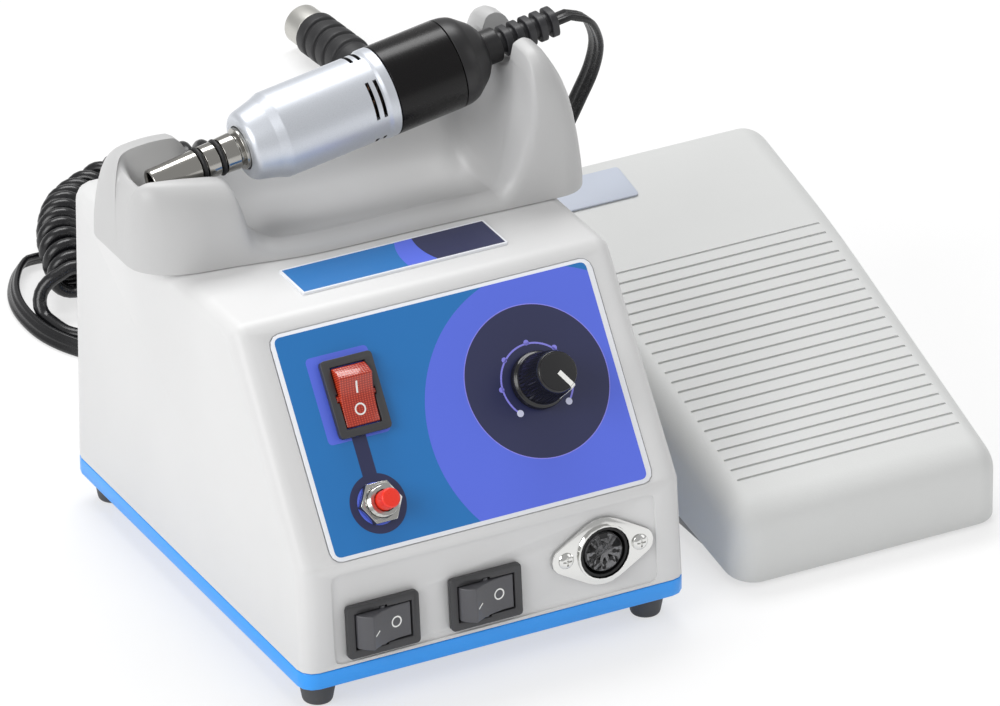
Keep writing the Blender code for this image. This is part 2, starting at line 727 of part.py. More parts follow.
def soft_prism(name, profile, low_x, high_x, fillet, is_bottom):
    """A side profile (y, z) extruded along X, its side edges rounded except along the bottom."""
    solid = skin(name, [[(x, y, z) for y, z in profile] for x in (low_x, high_x)])
    bm = bmesh.new()
    bm.from_mesh(solid.data)
    edges = [e for e in bm.edges if abs(e.verts[0].co.x - e.verts[1].co.x) < abs(high_x - low_x) / 2
             and not (is_bottom(e.verts[0].co) and is_bottom(e.verts[1].co))]
    bmesh.ops.bevel(bm, geom=edges, offset=fillet, offset_type="OFFSET", segments=CORNER_STEPS,
                    profile=0.5, affect="EDGES", clamp_overlap=False)
    bmesh.ops.recalc_face_normals(bm, faces=bm.faces)
    bm.to_mesh(solid.data)
    bm.free()
    return solid


def drafted(thing):
    """Narrow the case towards its top."""
    for vertex in thing.data.vertices:
        rise = (vertex.co.z - CASE_BOTTOM) / (CASE_TOP - CASE_BOTTOM)
        vertex.co.x *= 1 - 2 * CASE_DRAFT / CASE_WIDTH * rise
    return thing


def case_solid(name, shrink):
    half = CASE_WIDTH / 2 - shrink
    bottom = CASE_BOTTOM - (CUT_OVERRUN if shrink else 0)
    solid = soft_prism(name, case_profile(shrink), -half, half, CASE_FILLET - shrink,
                       lambda place: place.z <= bottom + SEAT_GAP)
    return drafted(solid)


def slope_matrix():
    angle = math.atan2(CASE_TOP - KNEE_LOW_Z, KNEE_HIGH_Y - KNEE_LOW_Y)
    return Matrix.Translation((0, KNEE_LOW_Y, KNEE_LOW_Z)) @ Matrix.Rotation(angle, 4, "X")


def front_matrix():
    angle = math.atan2(KNEE_LOW_Z - CASE_BOTTOM, KNEE_LOW_Y)
    return Matrix.Translation((0, 0, CASE_BOTTOM)) @ Matrix.Rotation(angle, 4, "X")


def rear_matrix():
    turn = Matrix(((-1, 0, 0), (0, 0, 1), (0, 1, 0))).to_4x4()
    return Matrix.Translation((0, CASE_DEPTH, 0)) @ turn


def through_cut(matrix, outline, deep=CASE_WALL + CUT_OVERRUN):
    return moved(prism("cutter", outline, -deep, CUT_OVERRUN), matrix)


def shallow_cut(matrix, outline, depth):
    return moved(prism("cutter", outline, -depth, CUT_OVERRUN), matrix)


def panel_outline(margin=0.0):
    centre = (PANEL_CENTRE_X, PANEL_BOTTOM + PANEL_HEIGHT / 2)
    return rounded_rectangle(PANEL_WIDTH + 2 * margin, PANEL_HEIGHT + 2 * margin,
                             PANEL_CORNER + margin, centre)


def switch_hole(x, t, upright):
    length = SWITCH_BODY_LENGTH + 2 * SWITCH_HOLE_CLEARANCE
    width = SWITCH_BODY_WIDTH + 2 * SWITCH_HOLE_CLEARANCE
    size = (width, length) if upright else (length, width)
    return [(x + a * size[0] / 2, t + b * size[1] / 2) for a, b in ((-1, -1), (1, -1), (1, 1), (-1, 1))]


def panel_holes():
    return [switch_hole(POWER_SWITCH_X, POWER_SWITCH_T, True),
            circle(BREAKER_NECK_RADIUS + SEAT_GAP, SMALL_SIDES, (BREAKER_X, BREAKER_T)),
            circle(POT_NECK_RADIUS + SEAT_GAP, SMALL_SIDES, (KNOB_X, KNOB_T))]


def strip_outline(margin=0.0):
    return rounded_rectangle(STRIP_LENGTH + 2 * margin, STRIP_DEPTH + 2 * margin,
                             SWITCH_CORNER, (STRIP_X, STRIP_Y), 1)


def make_case(parent):
    shell = carve(case_solid("case_shell", 0), case_solid("cutter", CASE_WALL))
    carve(shell, shallow_cut(slope_matrix(), panel_outline(SEAT_GAP), PANEL_SINK))
    field = rounded_rectangle(FIELD_WIDTH, FIELD_HEIGHT, FIELD_CORNER, (0, FIELD_T), 2)
    carve(shell, shallow_cut(front_matrix(), field, FIELD_SINK))
    for outline in panel_holes():
        carve(shell, through_cut(slope_matrix(), outline))
    for x, t in ((MODE_SWITCH_X, MODE_SWITCH_T), (DIRECTION_SWITCH_X, DIRECTION_SWITCH_T)):
        carve(shell, through_cut(front_matrix(), switch_hole(x, t, False)))
    carve(shell, through_cut(front_matrix(), circle(INSERT_RADIUS + SEAT_GAP, SMALL_SIDES,
                                                    (SOCKET_X, SOCKET_T))))
    for x, radius in ((GLAND_X, GLAND_RADIUS), (FUSE_X, FUSE_RADIUS), (JACK_X, JACK_RADIUS)):
        carve(shell, through_cut(rear_matrix(), circle(radius + SEAT_GAP, SMALL_SIDES,
                                                       (-x, REAR_HEIGHT))))
    finish(shell, parent, "E9E9EA", 0.42)


def make_tray(parent):
    centre = (0, CASE_DEPTH / 2)
    tray = prism("base_tray", rounded_rectangle(CASE_WIDTH, CASE_DEPTH, CASE_FILLET, centre),
                 FOOT_HEIGHT, CASE_BOTTOM - SEAT_GAP)
    lip_in = CASE_WALL + 2 * SEAT_GAP
    corner = CASE_FILLET - CASE_WALL
    lip = rounded_rectangle(CASE_WIDTH - 2 * lip_in, CASE_DEPTH - 2 * lip_in, corner, centre)
    join_on(tray, prism("lip", lip, FOOT_HEIGHT + TRAY_FLOOR, CASE_BOTTOM + TRAY_LIP_RISE))
    wall_in = lip_in + TRAY_LIP_THICKNESS
    pocket = rounded_rectangle(CASE_WIDTH - 2 * wall_in, CASE_DEPTH - 2 * wall_in, corner, centre, 1)
    floor = FOOT_HEIGHT + TRAY_FLOOR
    carve(tray, prism("cutter", pocket, floor, CASE_BOTTOM + TRAY_LIP_RISE + CUT_OVERRUN))
    board_x, board_width = BOARD_X_SHARE * CASE_WIDTH, BOARD_WIDTH_SHARE * CASE_WIDTH
    board_y, board_depth = BOARD_Y_SHARE * CASE_DEPTH, BOARD_DEPTH_SHARE * CASE_DEPTH
    for side in (-1, 1):
        for end in (-1, 1):
            place = (board_x + side * (board_width / 2 - 2 * POST_RADIUS),
                     board_y + end * (board_depth / 2 - 2 * POST_RADIUS))
            post = prism("post", circle(POST_RADIUS, 8, place), floor - TRAY_FLOOR / 2, floor + POST_HEIGHT)
            join_on(tray, post)
    finish(tray, parent, "3BA7F0", 0.4)


def make_feet(parent):
    names = ("foot_front_left", "foot_front_right", "foot_back_left", "foot_back_right")
    reach = CASE_WIDTH / 2 - FOOT_INSET_X
    rows = (FOOT_INSET_FRONT, CASE_DEPTH - FOOT_INSET_BACK)
    places = [(side * reach, y) for y in rows for side in (-1, 1)]
    top = FOOT_HEIGHT - SEAT_GAP
    profile = [(0, top), (FOOT_TOP_RADIUS, top), (FOOT_BOTTOM_RADIUS, 0), (FOOT_DIMPLE_RADIUS, 0),
               (FOOT_DIMPLE_RADIUS, FOOT_DIMPLE_DEPTH), (0, FOOT_DIMPLE_DEPTH)]
    for name, (x, y) in zip(names, places):
        foot = lathe(name, profile, SMALL_SIDES)
        foot.location = (x, y, 0)
        finish(foot, parent, "4A4A4C", 0.8)


def make_films(parent):
    panel = prism("control_panel_film", panel_outline(), SEAT_GAP - PANEL_SINK,
                  SEAT_GAP - PANEL_SINK + FILM_THICKNESS)
    for outline in panel_holes():
        carve(panel, prism("cutter", outline, -CUT_OVERRUN, CUT_OVERRUN))
    moved(panel, slope_matrix())
    finish(panel, parent, "3C86D6", 0.35)
    low = CASE_TOP + SEAT_GAP
    strip = prism("name_strip_film", strip_outline(), low, low + FILM_THICKNESS)
    finish(strip, parent, "3C86D6", 0.35)


def make_switch(name, parent, matrix, place, base, upright, colour, roughness):
    """Body and rocker of one switch, built with its long way along y and turned for the lower pair."""
    turn = Matrix.Identity(4) if upright else Matrix.Rotation(math.pi / 2, 4, "Z")
    pivot_height = base + BEZEL_HEIGHT - ROCKER_SINK
    pivot = matrix @ Matrix.Translation((*place, pivot_height)) @ turn
    bezel = rounded_rectangle(SWITCH_WIDTH, SWITCH_LENGTH, SWITCH_CORNER, steps=2)
    body = prism(name + "_switch_body", bezel, base - pivot_height, ROCKER_SINK)
    bottom = base - pivot_height - SWITCH_BODY_DEPTH
    x, y = SWITCH_BODY_WIDTH / 2, SWITCH_BODY_LENGTH / 2
    join_on(body, block("barrel", (-x, -y, bottom), (x, y, base - pivot_height + BEZEL_HEIGHT / 2)))
    for side in (-1, 1):
        tab_y = side * TAB_SPREAD
        join_on(body, block("tab", (-TAB_WIDTH / 2, tab_y - TAB_THICKNESS / 2, bottom - TAB_LENGTH),
                            (TAB_WIDTH / 2, tab_y + TAB_THICKNESS / 2, bottom + SWITCH_FLOOR / 2)))
    x, y = x - SWITCH_WALL, y - SWITCH_WALL
    carve(body, block("cutter", (-x, -y, bottom + SWITCH_FLOOR), (x, y, ROCKER_SINK + CUT_OVERRUN)))
    across = Matrix.Rotation(math.pi / 2, 4, "Y")
    bore = prism("cutter", circle(TRUNNION_RADIUS + SEAT_GAP, 8), -x - SWITCH_WALL / 2, x + SWITCH_WALL / 2)
    carve(body, moved(bore, across))
    moved(body, pivot)
    finish(body, parent, "2B2B2D", 0.45)

    width = x - RUN_GAP
    slant = math.tan(ROCKER_TILT)
    end_y = ROCKER_REACH * math.cos(ROCKER_END_ANGLE)
    end_z = ROCKER_CREST + end_y * slant
    low_y = math.sqrt(ROCKER_REACH ** 2 - ROCKER_DEPTH ** 2)
    top = math.atan2(end_z, end_y)
    low = -math.atan2(ROCKER_DEPTH, low_y)
    reach = min(ROCKER_REACH, y - RUN_GAP)
    right = arc_points(reach, low, top, 3)
    left = [(-a, b) for a, b in reversed(right)]
    outline = right + [(0, ROCKER_CREST)] + left
    tilt = Matrix.Rotation(ROCKER_TILT, 2)
    tilted = [tuple(tilt @ Vector(point)) for point in outline]
    rocker = skin(name + "_rocker", [[(side * width, a, b) for a, b in tilted] for side in (-1, 1)])
    pin = prism("pin", circle(TRUNNION_RADIUS, 8), -width - 2 * RUN_GAP, width + 2 * RUN_GAP)
    join_on(rocker, moved(pin, across))
    carrier = frame(name + "_rocker_pivot", parent, pivot.translation, pivot.to_3x3())
    finish(rocker, carrier, colour, roughness)


def make_breaker(parent):
    film_top = SEAT_GAP - PANEL_SINK + FILM_THICKNESS
    back = -CASE_WALL - SEAT_GAP
    half = BREAKER_BODY_SIZE / 2
    base = slope_matrix() @ Matrix.Translation((BREAKER_X, BREAKER_T, 0))
    body = block("breaker_body", (-half, -half, back - BREAKER_BODY_DEPTH), (half, half, back))
    neck_top = film_top + BREAKER_NECK_HEIGHT
    join_on(body, prism("neck", circle(BREAKER_NECK_RADIUS, SMALL_SIDES), back - SEAT_GAP, neck_top))
    bore_floor = neck_top - BREAKER_BUTTON_TAIL - BREAKER_BUTTON_TRAVEL - RUN_GAP
    carve(body, prism("cutter", circle(BREAKER_BUTTON_RADIUS + RUN_GAP, TINY_SIDES), bore_floor,
                      neck_top + CUT_OVERRUN))
    finish(moved(body, base), parent, "C9C9C6", 0.3, 0.9)
    nut = prism("breaker_nut", hexagon(BREAKER_NUT_FLATS), film_top + SEAT_GAP,
                film_top + SEAT_GAP + BREAKER_NUT_HEIGHT)
    carve(nut, prism("cutter", circle(BREAKER_NECK_RADIUS + SEAT_GAP, SMALL_SIDES),
                     -CUT_OVERRUN, neck_top + CUT_OVERRUN))
    finish(moved(nut, base), parent, "C8C7C3", 0.28, 1.0)
    tail = neck_top - BREAKER_BUTTON_TAIL
    tip = neck_top + BREAKER_BUTTON_OUT
    rim = BREAKER_BUTTON_RADIUS * BREAKER_RIM_SHARE
    button = lathe("breaker_button", [(0, tail), (BREAKER_BUTTON_RADIUS, tail),
                                      (BREAKER_BUTTON_RADIUS, tip - (BREAKER_BUTTON_RADIUS - rim)),
                                      (rim, tip), (0, tip)], SMALL_SIDES)
    carrier = frame("breaker_button_slide", parent, base.translation, base.to_3x3())
    finish(button, carrier, "E8402F", 0.35)


def make_speed_control(parent):
    film_top = SEAT_GAP - PANEL_SINK + FILM_THICKNESS
    back = -CASE_WALL - SEAT_GAP
    base = slope_matrix() @ Matrix.Translation((KNOB_X, KNOB_T, 0))
    neck_top = film_top + POT_NECK_HEIGHT
    bore = POT_SHAFT_RADIUS + RUN_GAP
    floor = back - POT_SHAFT_TAIL - RUN_GAP
    body = lathe("speed_potentiometer", [
        (bore, floor), (bore, neck_top), (POT_NECK_RADIUS, neck_top), (POT_NECK_RADIUS, back),
        (POT_BODY_RADIUS, back), (POT_BODY_RADIUS, back - POT_BODY_DEPTH),
        (0, back - POT_BODY_DEPTH), (0, floor)], SMALL_SIDES)
    finish(moved(body, base), parent, "B9B6A8", 0.4, 0.8)
    nut_top = film_top + SEAT_GAP + POT_NUT_HEIGHT
    nut = prism("potentiometer_nut", hexagon(POT_NUT_FLATS), film_top + SEAT_GAP, nut_top)
    carve(nut, prism("cutter", circle(POT_NECK_RADIUS + SEAT_GAP, SMALL_SIDES), -CUT_OVERRUN,
                     nut_top + CUT_OVERRUN))
    finish(moved(nut, base), parent, "C8C7C3", 0.3, 1.0)

    carrier = frame("speed_knob_axis", parent, base.translation, base.to_3x3())
    shaft = prism("potentiometer_shaft", circle(POT_SHAFT_RADIUS, TINY_SIDES), back - POT_SHAFT_TAIL,
                  film_top + POT_SHAFT_LENGTH)
    finish(shaft, carrier, "BEBDB8", 0.3, 1.0)
    low = film_top + KNOB_STAND_OFF
    top = low + KNOB_HEIGHT
    skirt_top = low + KNOB_SKIRT_HEIGHT
    sides = 2 * KNOB_FLUTES

    def fluted(radius, height, depth):
        ring = []
        for k in range(sides):
            angle = math.pi * k / KNOB_FLUTES
            reach = radius - (depth if k % 2 else 0)
            ring.append((reach * math.cos(angle), reach * math.sin(angle), height))
        return ring

    crown = KNOB_FLUTE_DEPTH * 2
    knob = skin("speed_knob", [
        fluted(KNOB_SKIRT_RADIUS, low, 0), fluted(KNOB_SKIRT_RADIUS, skirt_top - crown, 0),
        fluted(KNOB_SKIRT_RADIUS - crown, skirt_top, 0), fluted(KNOB_CAP_RADIUS, skirt_top, KNOB_FLUTE_DEPTH),
        fluted(KNOB_CAP_TOP_RADIUS, top - crown, KNOB_FLUTE_DEPTH),
        fluted(KNOB_CAP_TOP_RADIUS - crown, top, 0)])
    carve(knob, prism("cutter", circle(KNOB_POCKET_RADIUS, SMALL_SIDES), low - CUT_OVERRUN,
                      low + KNOB_POCKET_DEPTH))
    carve(knob, prism("cutter", circle(POT_SHAFT_RADIUS + SEAT_GAP, TINY_SIDES), low - CUT_OVERRUN,
                      min(top - KNOB_ROOF, film_top + POT_SHAFT_LENGTH + SEAT_GAP)))
    finish(knob, carrier, "1D1D1F", 0.35)


def hull(points):
    """The outer outline of a set of points, anticlockwise."""
    points = sorted(set(points))
    chains = []
    for run in (points, points[::-1]):
        chain = []
        for p in run:
            while len(chain) > 1:
                a, b = chain[-2], chain[-1]
                if (b[0] - a[0]) * (p[1] - a[1]) - (b[1] - a[1]) * (p[0] - a[0]) > 0:
                    break
                chain.pop()
            chain.append(p)
        chains += chain[:-1]
    return chains


def make_motor_socket(parent):
    face = -FIELD_SINK
    base = front_matrix() @ Matrix.Translation((SOCKET_X, SOCKET_T, 0))
    reach = FLANGE_LENGTH / 2 - FLANGE_END_RADIUS
    outline = hull(circle(FLANGE_HEIGHT / 2, ROUND_SIDES)
                   + circle(FLANGE_END_RADIUS, SMALL_SIDES, (-reach, 0))
                   + circle(FLANGE_END_RADIUS, SMALL_SIDES, (reach, 0)))
    low = face + SEAT_GAP
    plate_top = low + FLANGE_THICKNESS
    flange = prism("motor_socket_flange", outline, low, plate_top)
    join_on(flange, prism("collar", circle(COLLAR_RADIUS, ROUND_SIDES), low + FLANGE_THICKNESS / 2,
                          plate_top + COLLAR_RISE))
    carve(flange, prism("cutter", circle(INSERT_RADIUS + SEAT_GAP, ROUND_SIDES), low - CUT_OVERRUN,
                        plate_top + COLLAR_RISE + CUT_OVERRUN))
    finish(moved(flange, base), parent, "D5D5D2", 0.2, 1.0)
    top = plate_top + COLLAR_RISE - INSERT_FACE_SINK
    slot_floor = top - INSERT_SLOT_DEPTH
    insert = lathe("motor_socket_insert", [
        (0, top - INSERT_DEPTH), (INSERT_RADIUS, top - INSERT_DEPTH), (INSERT_RADIUS, top),
        (INSERT_SLOT_RADIUS, top), (INSERT_SLOT_RADIUS, slot_floor), (INSERT_CORE_RADIUS, slot_floor),
        (INSERT_CORE_RADIUS, top), (0, top)], ROUND_SIDES)
    for angle in PIN_ANGLES:
        a = math.radians(angle)
        centre = (PIN_CIRCLE_RADIUS * math.cos(a), PIN_CIRCLE_RADIUS * math.sin(a))
        carve(insert, prism("cutter", circle(PIN_HOLE_RADIUS, 6, centre), top - PIN_HOLE_DEPTH,
                            top + CUT_OVERRUN))
    carve(insert, block("cutter", (-KEY_WIDTH / 2, INSERT_CORE_RADIUS - KEY_DEPTH, slot_floor),
                        (KEY_WIDTH / 2, INSERT_SLOT_RADIUS - SEAT_GAP, top + CUT_OVERRUN)))
    finish(moved(insert, base), parent, "2A2A2B", 0.5)


def make_rear_fittings(parent):
    def place(x):
        return rear_matrix() @ Matrix.Translation((-x, REAR_HEIGHT, 0))

    back = -CASE_WALL - SEAT_GAP
    bush_depth = GLAND_FLANGE_RADIUS - GLAND_RADIUS
    gland = lathe("mains_gland", [
        (GLAND_BORE_RADIUS, back - bush_depth), (GLAND_FLANGE_RADIUS, back - bush_depth),
        (GLAND_FLANGE_RADIUS, back), (GLAND_RADIUS, back), (GLAND_RADIUS, SEAT_GAP),
        (GLAND_FLANGE_RADIUS, SEAT_GAP), (GLAND_FLANGE_RADIUS, SEAT_GAP + bush_depth),
        (GLAND_RADIUS, SEAT_GAP + GLAND_LENGTH), (GLAND_BORE_RADIUS, SEAT_GAP + GLAND_LENGTH)], SMALL_SIDES)
    finish(moved(gland, place(GLAND_X)), parent, "2C2C2E", 0.6)
    fuse = lathe("fuse_holder", [
        (0, -FUSE_TUBE_LENGTH), (FUSE_RADIUS, -FUSE_TUBE_LENGTH), (FUSE_RADIUS, SEAT_GAP),
        (FUSE_CAP_RADIUS, SEAT_GAP), (FUSE_CAP_RADIUS, SEAT_GAP + FUSE_CAP_LENGTH / 3),
        (FUSE_RADIUS, SEAT_GAP + FUSE_CAP_LENGTH / 2), (FUSE_RADIUS, SEAT_GAP + FUSE_CAP_LENGTH),
        (0, SEAT_GAP + FUSE_CAP_LENGTH)], SMALL_SIDES)
    finish(moved(fuse, place(FUSE_X)), parent, "2C2C2E", 0.5)
    nut_top = SEAT_GAP + JACK_NUT_HEIGHT
    jack = prism("pedal_jack", circle(JACK_RADIUS, SMALL_SIDES), -JACK_BODY_LENGTH, nut_top + SEAT_GAP)
    half = JACK_NUT_FLATS / 2
    join_on(jack, block("body", (-half, -half, -JACK_BODY_LENGTH), (half, half, back)))
    join_on(jack, prism("nut", hexagon(JACK_NUT_FLATS), SEAT_GAP, nut_top))
    carve(jack, prism("cutter", circle(JACK_BORE_RADIUS, TINY_SIDES), CUT_OVERRUN - JACK_BODY_LENGTH,
                      nut_top + CUT_OVERRUN))
    finish(moved(jack, place(JACK_X)), parent, "BFBEBA", 0.35, 0.9)


def make_insides(parent):
    floor = FOOT_HEIGHT + TRAY_FLOOR + SEAT_GAP
    x, y = CORE_X_SHARE * CASE_WIDTH, CORE_Y_SHARE * CASE_DEPTH
    width, stack = CORE_WIDTH_SHARE * CASE_WIDTH, CORE_STACK_SHARE * CASE_DEPTH
    leg_width, yoke, half_stack = CORE_LEG_SHARE * width, CORE_YOKE_SHARE * width, stack / 2
    core = block("transformer_core", (x - width / 2, y - half_stack, floor),
                 (x + width / 2, y + half_stack, floor + CORE_HEIGHT))
    low, high = floor + yoke, floor + CORE_HEIGHT - yoke
    window = (width - leg_width - 2 * yoke) / 2
    build = WINDING_SHARE * window
    for side in (-1, 1):
        inner, outer = x + side * leg_width / 2, x + side * (leg_width / 2 + window)
        carve(core, block("cutter", (min(inner, outer), y - half_stack - CUT_OVERRUN, low),
                          (max(inner, outer), y + half_stack + CUT_OVERRUN, high)))
    finish(core, parent, "6E7075", 0.5, 0.7)
    leg = (leg_width + 2 * SEAT_GAP, stack + 2 * SEAT_GAP)
    winding = prism("transformer_winding", rounded_rectangle(
        leg[0] + 2 * build, leg[1] + 2 * build, PANEL_CORNER, (x, y), 2),
        low + SEAT_GAP, high - SEAT_GAP)
    hole = [(x + a * leg[0] / 2, y + b * leg[1] / 2) for a, b in ((-1, -1), (1, -1), (1, 1), (-1, 1))]
    carve(winding, prism("cutter", hole, low - CUT_OVERRUN, high + CUT_OVERRUN))
    finish(winding, parent, "C98A3A", 0.55)

    board_low = floor + POST_HEIGHT
    board_top = board_low + BOARD_THICKNESS
    x, y = BOARD_X_SHARE * CASE_WIDTH, BOARD_Y_SHARE * CASE_DEPTH
    width, half_depth = BOARD_WIDTH_SHARE * CASE_WIDTH, BOARD_DEPTH_SHARE * CASE_DEPTH / 2
    board = block("circuit_board", (x - width / 2, y - half_depth, board_low),
                  (x + width / 2, y + half_depth, board_top))
    for side in (-1, 1):
        corner = (x + side * (width / 2 - BLOCK_SIZE), y + half_depth - BLOCK_SIZE)
        join_on(board, block("terminals", (corner[0] - BLOCK_SIZE / 2, corner[1], board_low + BOARD_THICKNESS / 2),
                             (corner[0] + BLOCK_SIZE / 2, corner[1] + BLOCK_SIZE / 2, board_top + BLOCK_HEIGHT)))
    finish(board, parent, "2F7A3D", 0.5)
    stand = board_top + SEAT_GAP
    capacitor = lathe("smoothing_capacitor", [
        (0, stand), (CAPACITOR_RADIUS, stand), (CAPACITOR_RADIUS, stand + CAPACITOR_HEIGHT),
        (0, stand + CAPACITOR_HEIGHT)], SMALL_SIDES)
    capacitor.location = (x, y - half_depth + CAPACITOR_RADIUS + CAPACITOR_MARGIN, 0)
    finish(capacitor, parent, "24365E", 0.4)
    pitch = (SINK_WIDTH - SINK_FIN_THICKNESS) / (SINK_FINS - 1)
    left, depth = x - SINK_WIDTH / 2, SINK_BASE + SINK_FIN_DEPTH
    front = y + half_depth - BLOCK_SIZE - SINK_CLEARANCE - depth
    comb = [(left, front), (left + SINK_WIDTH, front)]
    for k in reversed(range(SINK_FINS)):
        fin = left + k * pitch
        comb += [(fin + SINK_FIN_THICKNESS, front + depth), (fin, front + depth)]
        if k:
            comb += [(fin, front + SINK_BASE), (fin - pitch + SINK_FIN_THICKNESS, front + SINK_BASE)]
    sink = prism("heat_sink", comb, stand, stand + SINK_HEIGHT)
    finish(sink, parent, "A9ABAE", 0.4, 0.9)


def cradle_half(share, corners):
    """Distance from the cradle's middle to one long side, drawn in by the round corners at its ends."""
    along = share * CRADLE_LENGTH
    near, corner = min((along, corners[0]), (CRADLE_LENGTH - along, corners[1]))
    run = max(0, corner - near)
    return CRADLE_WIDTH / 2 - corner + math.sqrt(max(0, corner ** 2 - run ** 2))


def cradle_section(share):
    """One cross-section of the cradle as (y, z) about the groove's middle, front base to back base."""
    half_front = cradle_half(share, CRADLE_FRONT_CORNERS) * smooth_through(FRONT_WIDTH_SHARES, share)
    half_back = cradle_half(share, CRADLE_BACK_CORNERS)
    front = smooth_through(FRONT_CREST_SHARES, share) * HORN_HEIGHT
    back = smooth_through(BACK_CREST_SHARES, share) * HORN_HEIGHT
    floor = min(smooth_through(GROOVE_FLOOR_SHARES, share) * HORN_HEIGHT,
                GROOVE_LIMIT_SHARE * front, GROOVE_LIMIT_SHARE * back)
    lowest = smooth_through(LOWEST_LINE_SHARES, share) * half_front
    roundness = smooth_through(GROOVE_ROUNDNESS_SHARES, share)
    power = 2 / smooth_through(FULLNESS_SHARES, share)
    quarter = [math.pi / 2 * k / SECTION_STEPS for k in range(SECTION_STEPS + 1)]

    def one_side(sign, half, reach, crest):
        outer = [(sign * (reach + (half - reach) * math.cos(a) ** power), crest * math.sin(a) ** power)
                 for a in quarter[:-1]]
        inner = [(lowest + (sign * reach - lowest) * math.cos(a),
                  floor + (crest - floor) * (1 - math.sin(a) ** (2 * roundness))) for a in quarter[:-1]]
        return outer + inner

    front_side = one_side(-1, half_front, smooth_through(FRONT_REACH_SHARES, share) * half_front, front)
    back_side = one_side(1, half_back, smooth_through(BACK_REACH_SHARES, share) * half_back, back)
    return front_side + [(lowest, floor)] + back_side[::-1]


def handpiece_envelope():
    """The handpiece's outline with its clearance all round, to keep the cradle off it at any size."""
    outline = [(-REST_CLEARANCE, NOSE_TIP_RADIUS), (NOSE_NECK_AT, RING_2_RADIUS),
               (HOUSING_FRONT, HOUSING_FRONT_RADIUS), (HOUSING_CONE_END, BODY_RADIUS),
               (CAP_SHOULDER, BODY_RADIUS), (CAP_END, CAP_NECK_RADIUS), (RELIEF_END, CAP_NECK_RADIUS)]
    profile = [(place, radius + REST_CLEARANCE) for place, radius in outline]
    return turned("cutter", [(profile[0][0], 0)] + profile + [(profile[-1][0], 0)], ROUND_SIDES)


def hand_matrix():
    return Matrix.Translation((TIP_X, CRADLE_Y, TIP_Z)) @ Matrix.Rotation(-HAND_TILT, 4, "Y")


def make_cradle(parent):
    """The sculpted rest: one loft from end to end, cored out from below at its two thick ends."""
    base = CASE_TOP + SEAT_GAP
    stations = sorted({share for share, _ in FRONT_CREST_SHARES} | set(EXTRA_STATION_SHARES))
    rings = [[(CRADLE_LEFT_X + share * CRADLE_LENGTH, CRADLE_Y + y, base + z)
              for y, z in cradle_section(share)] for share in stations]
    cradle = carve(skin("handpiece_cradle", rings), moved(handpiece_envelope(), hand_matrix()))
    half = CRADLE_WIDTH / 2 * POCKET_DEPTH_SHARE
    for start, end, height in CRADLE_POCKET_SHARES:
        carve(cradle, block("cutter", (CRADLE_LEFT_X + start * CRADLE_LENGTH, CRADLE_Y - half, base - CUT_OVERRUN),
                            (CRADLE_LEFT_X + end * CRADLE_LENGTH, CRADLE_Y + half, base + height * HORN_HEIGHT)))
    finish(cradle, parent, "C9C9C8", 0.45, sharp_angle=math.radians(50))


def make_nose(parent):
    """Steel nose and front bearing seat in one turned piece, with its two rubber rings."""
    groove_1 = RING_1_RADIUS - RING_SECTION - SEAT_GAP
    groove_2 = RING_2_RADIUS - RING_SECTION - SEAT_GAP
    wide = RING_SECTION + SEAT_GAP
    flange_front = HOUSING_FRONT + HOUSING_FRONT_WALL + SEAT_GAP
    seat = BEARING_AT - SEAT_GAP
    nose = turned("motor_nose", [
        (0, NOSE_BORE), (0, NOSE_TIP_RADIUS), (RING_1_AT - wide, RING_1_RADIUS - SEAT_GAP),
        (RING_1_AT - wide, groove_1), (RING_1_AT + wide, groove_1),
        (RING_1_AT + wide, RING_1_RADIUS), (RING_2_AT - wide, RING_2_RADIUS - SEAT_GAP),
        (RING_2_AT - wide, groove_2), (RING_2_AT + wide, groove_2), (RING_2_AT + wide, RING_2_RADIUS),
        (NOSE_NECK_AT, RING_2_RADIUS + SEAT_GAP), (NOSE_NECK_AT, NOSE_NECK_RADIUS),
        (NOSE_COLLAR_AT, NOSE_NECK_RADIUS), (NOSE_COLLAR_AT, NOSE_COLLAR_RADIUS),
        (flange_front, NOSE_COLLAR_RADIUS), (flange_front, NOSE_FLANGE_RADIUS),
        (SEAT_END, NOSE_FLANGE_RADIUS), (SEAT_END, BEARING_RADIUS + SEAT_GAP),
        (seat, BEARING_RADIUS + SEAT_GAP), (seat, NOSE_BORE)], ROUND_SIDES)
    finish(nose, parent, "B5B3AE", 0.18, 1.0)
    for name, place, radius in (("nose_ring_front", RING_1_AT, RING_1_RADIUS),
                                ("nose_ring_rear", RING_2_AT, RING_2_RADIUS)):
        section = [(place + RING_SECTION * math.cos(a), radius - RING_SECTION / 2 + RING_SECTION * math.sin(a))
                   for a in (2 * math.pi * k / 6 for k in range(6))]
        finish(turned(name, section, ROUND_SIDES), parent, "151515", 0.5)


def arc_cutter(inner, outer, middle, arc, low, high, steps=4):
    """A slice of a ring about the handpiece's axis, from one place along it to another."""
    inside = arc_points(inner, middle - arc / 2, middle + arc / 2, steps)
    outside = arc_points(outer, middle - arc / 2, middle + arc / 2, steps)
    outline = outside + inside[::-1]
    return skin("cutter", [[(place, y, z) for y, z in outline] for place in (low, high)])


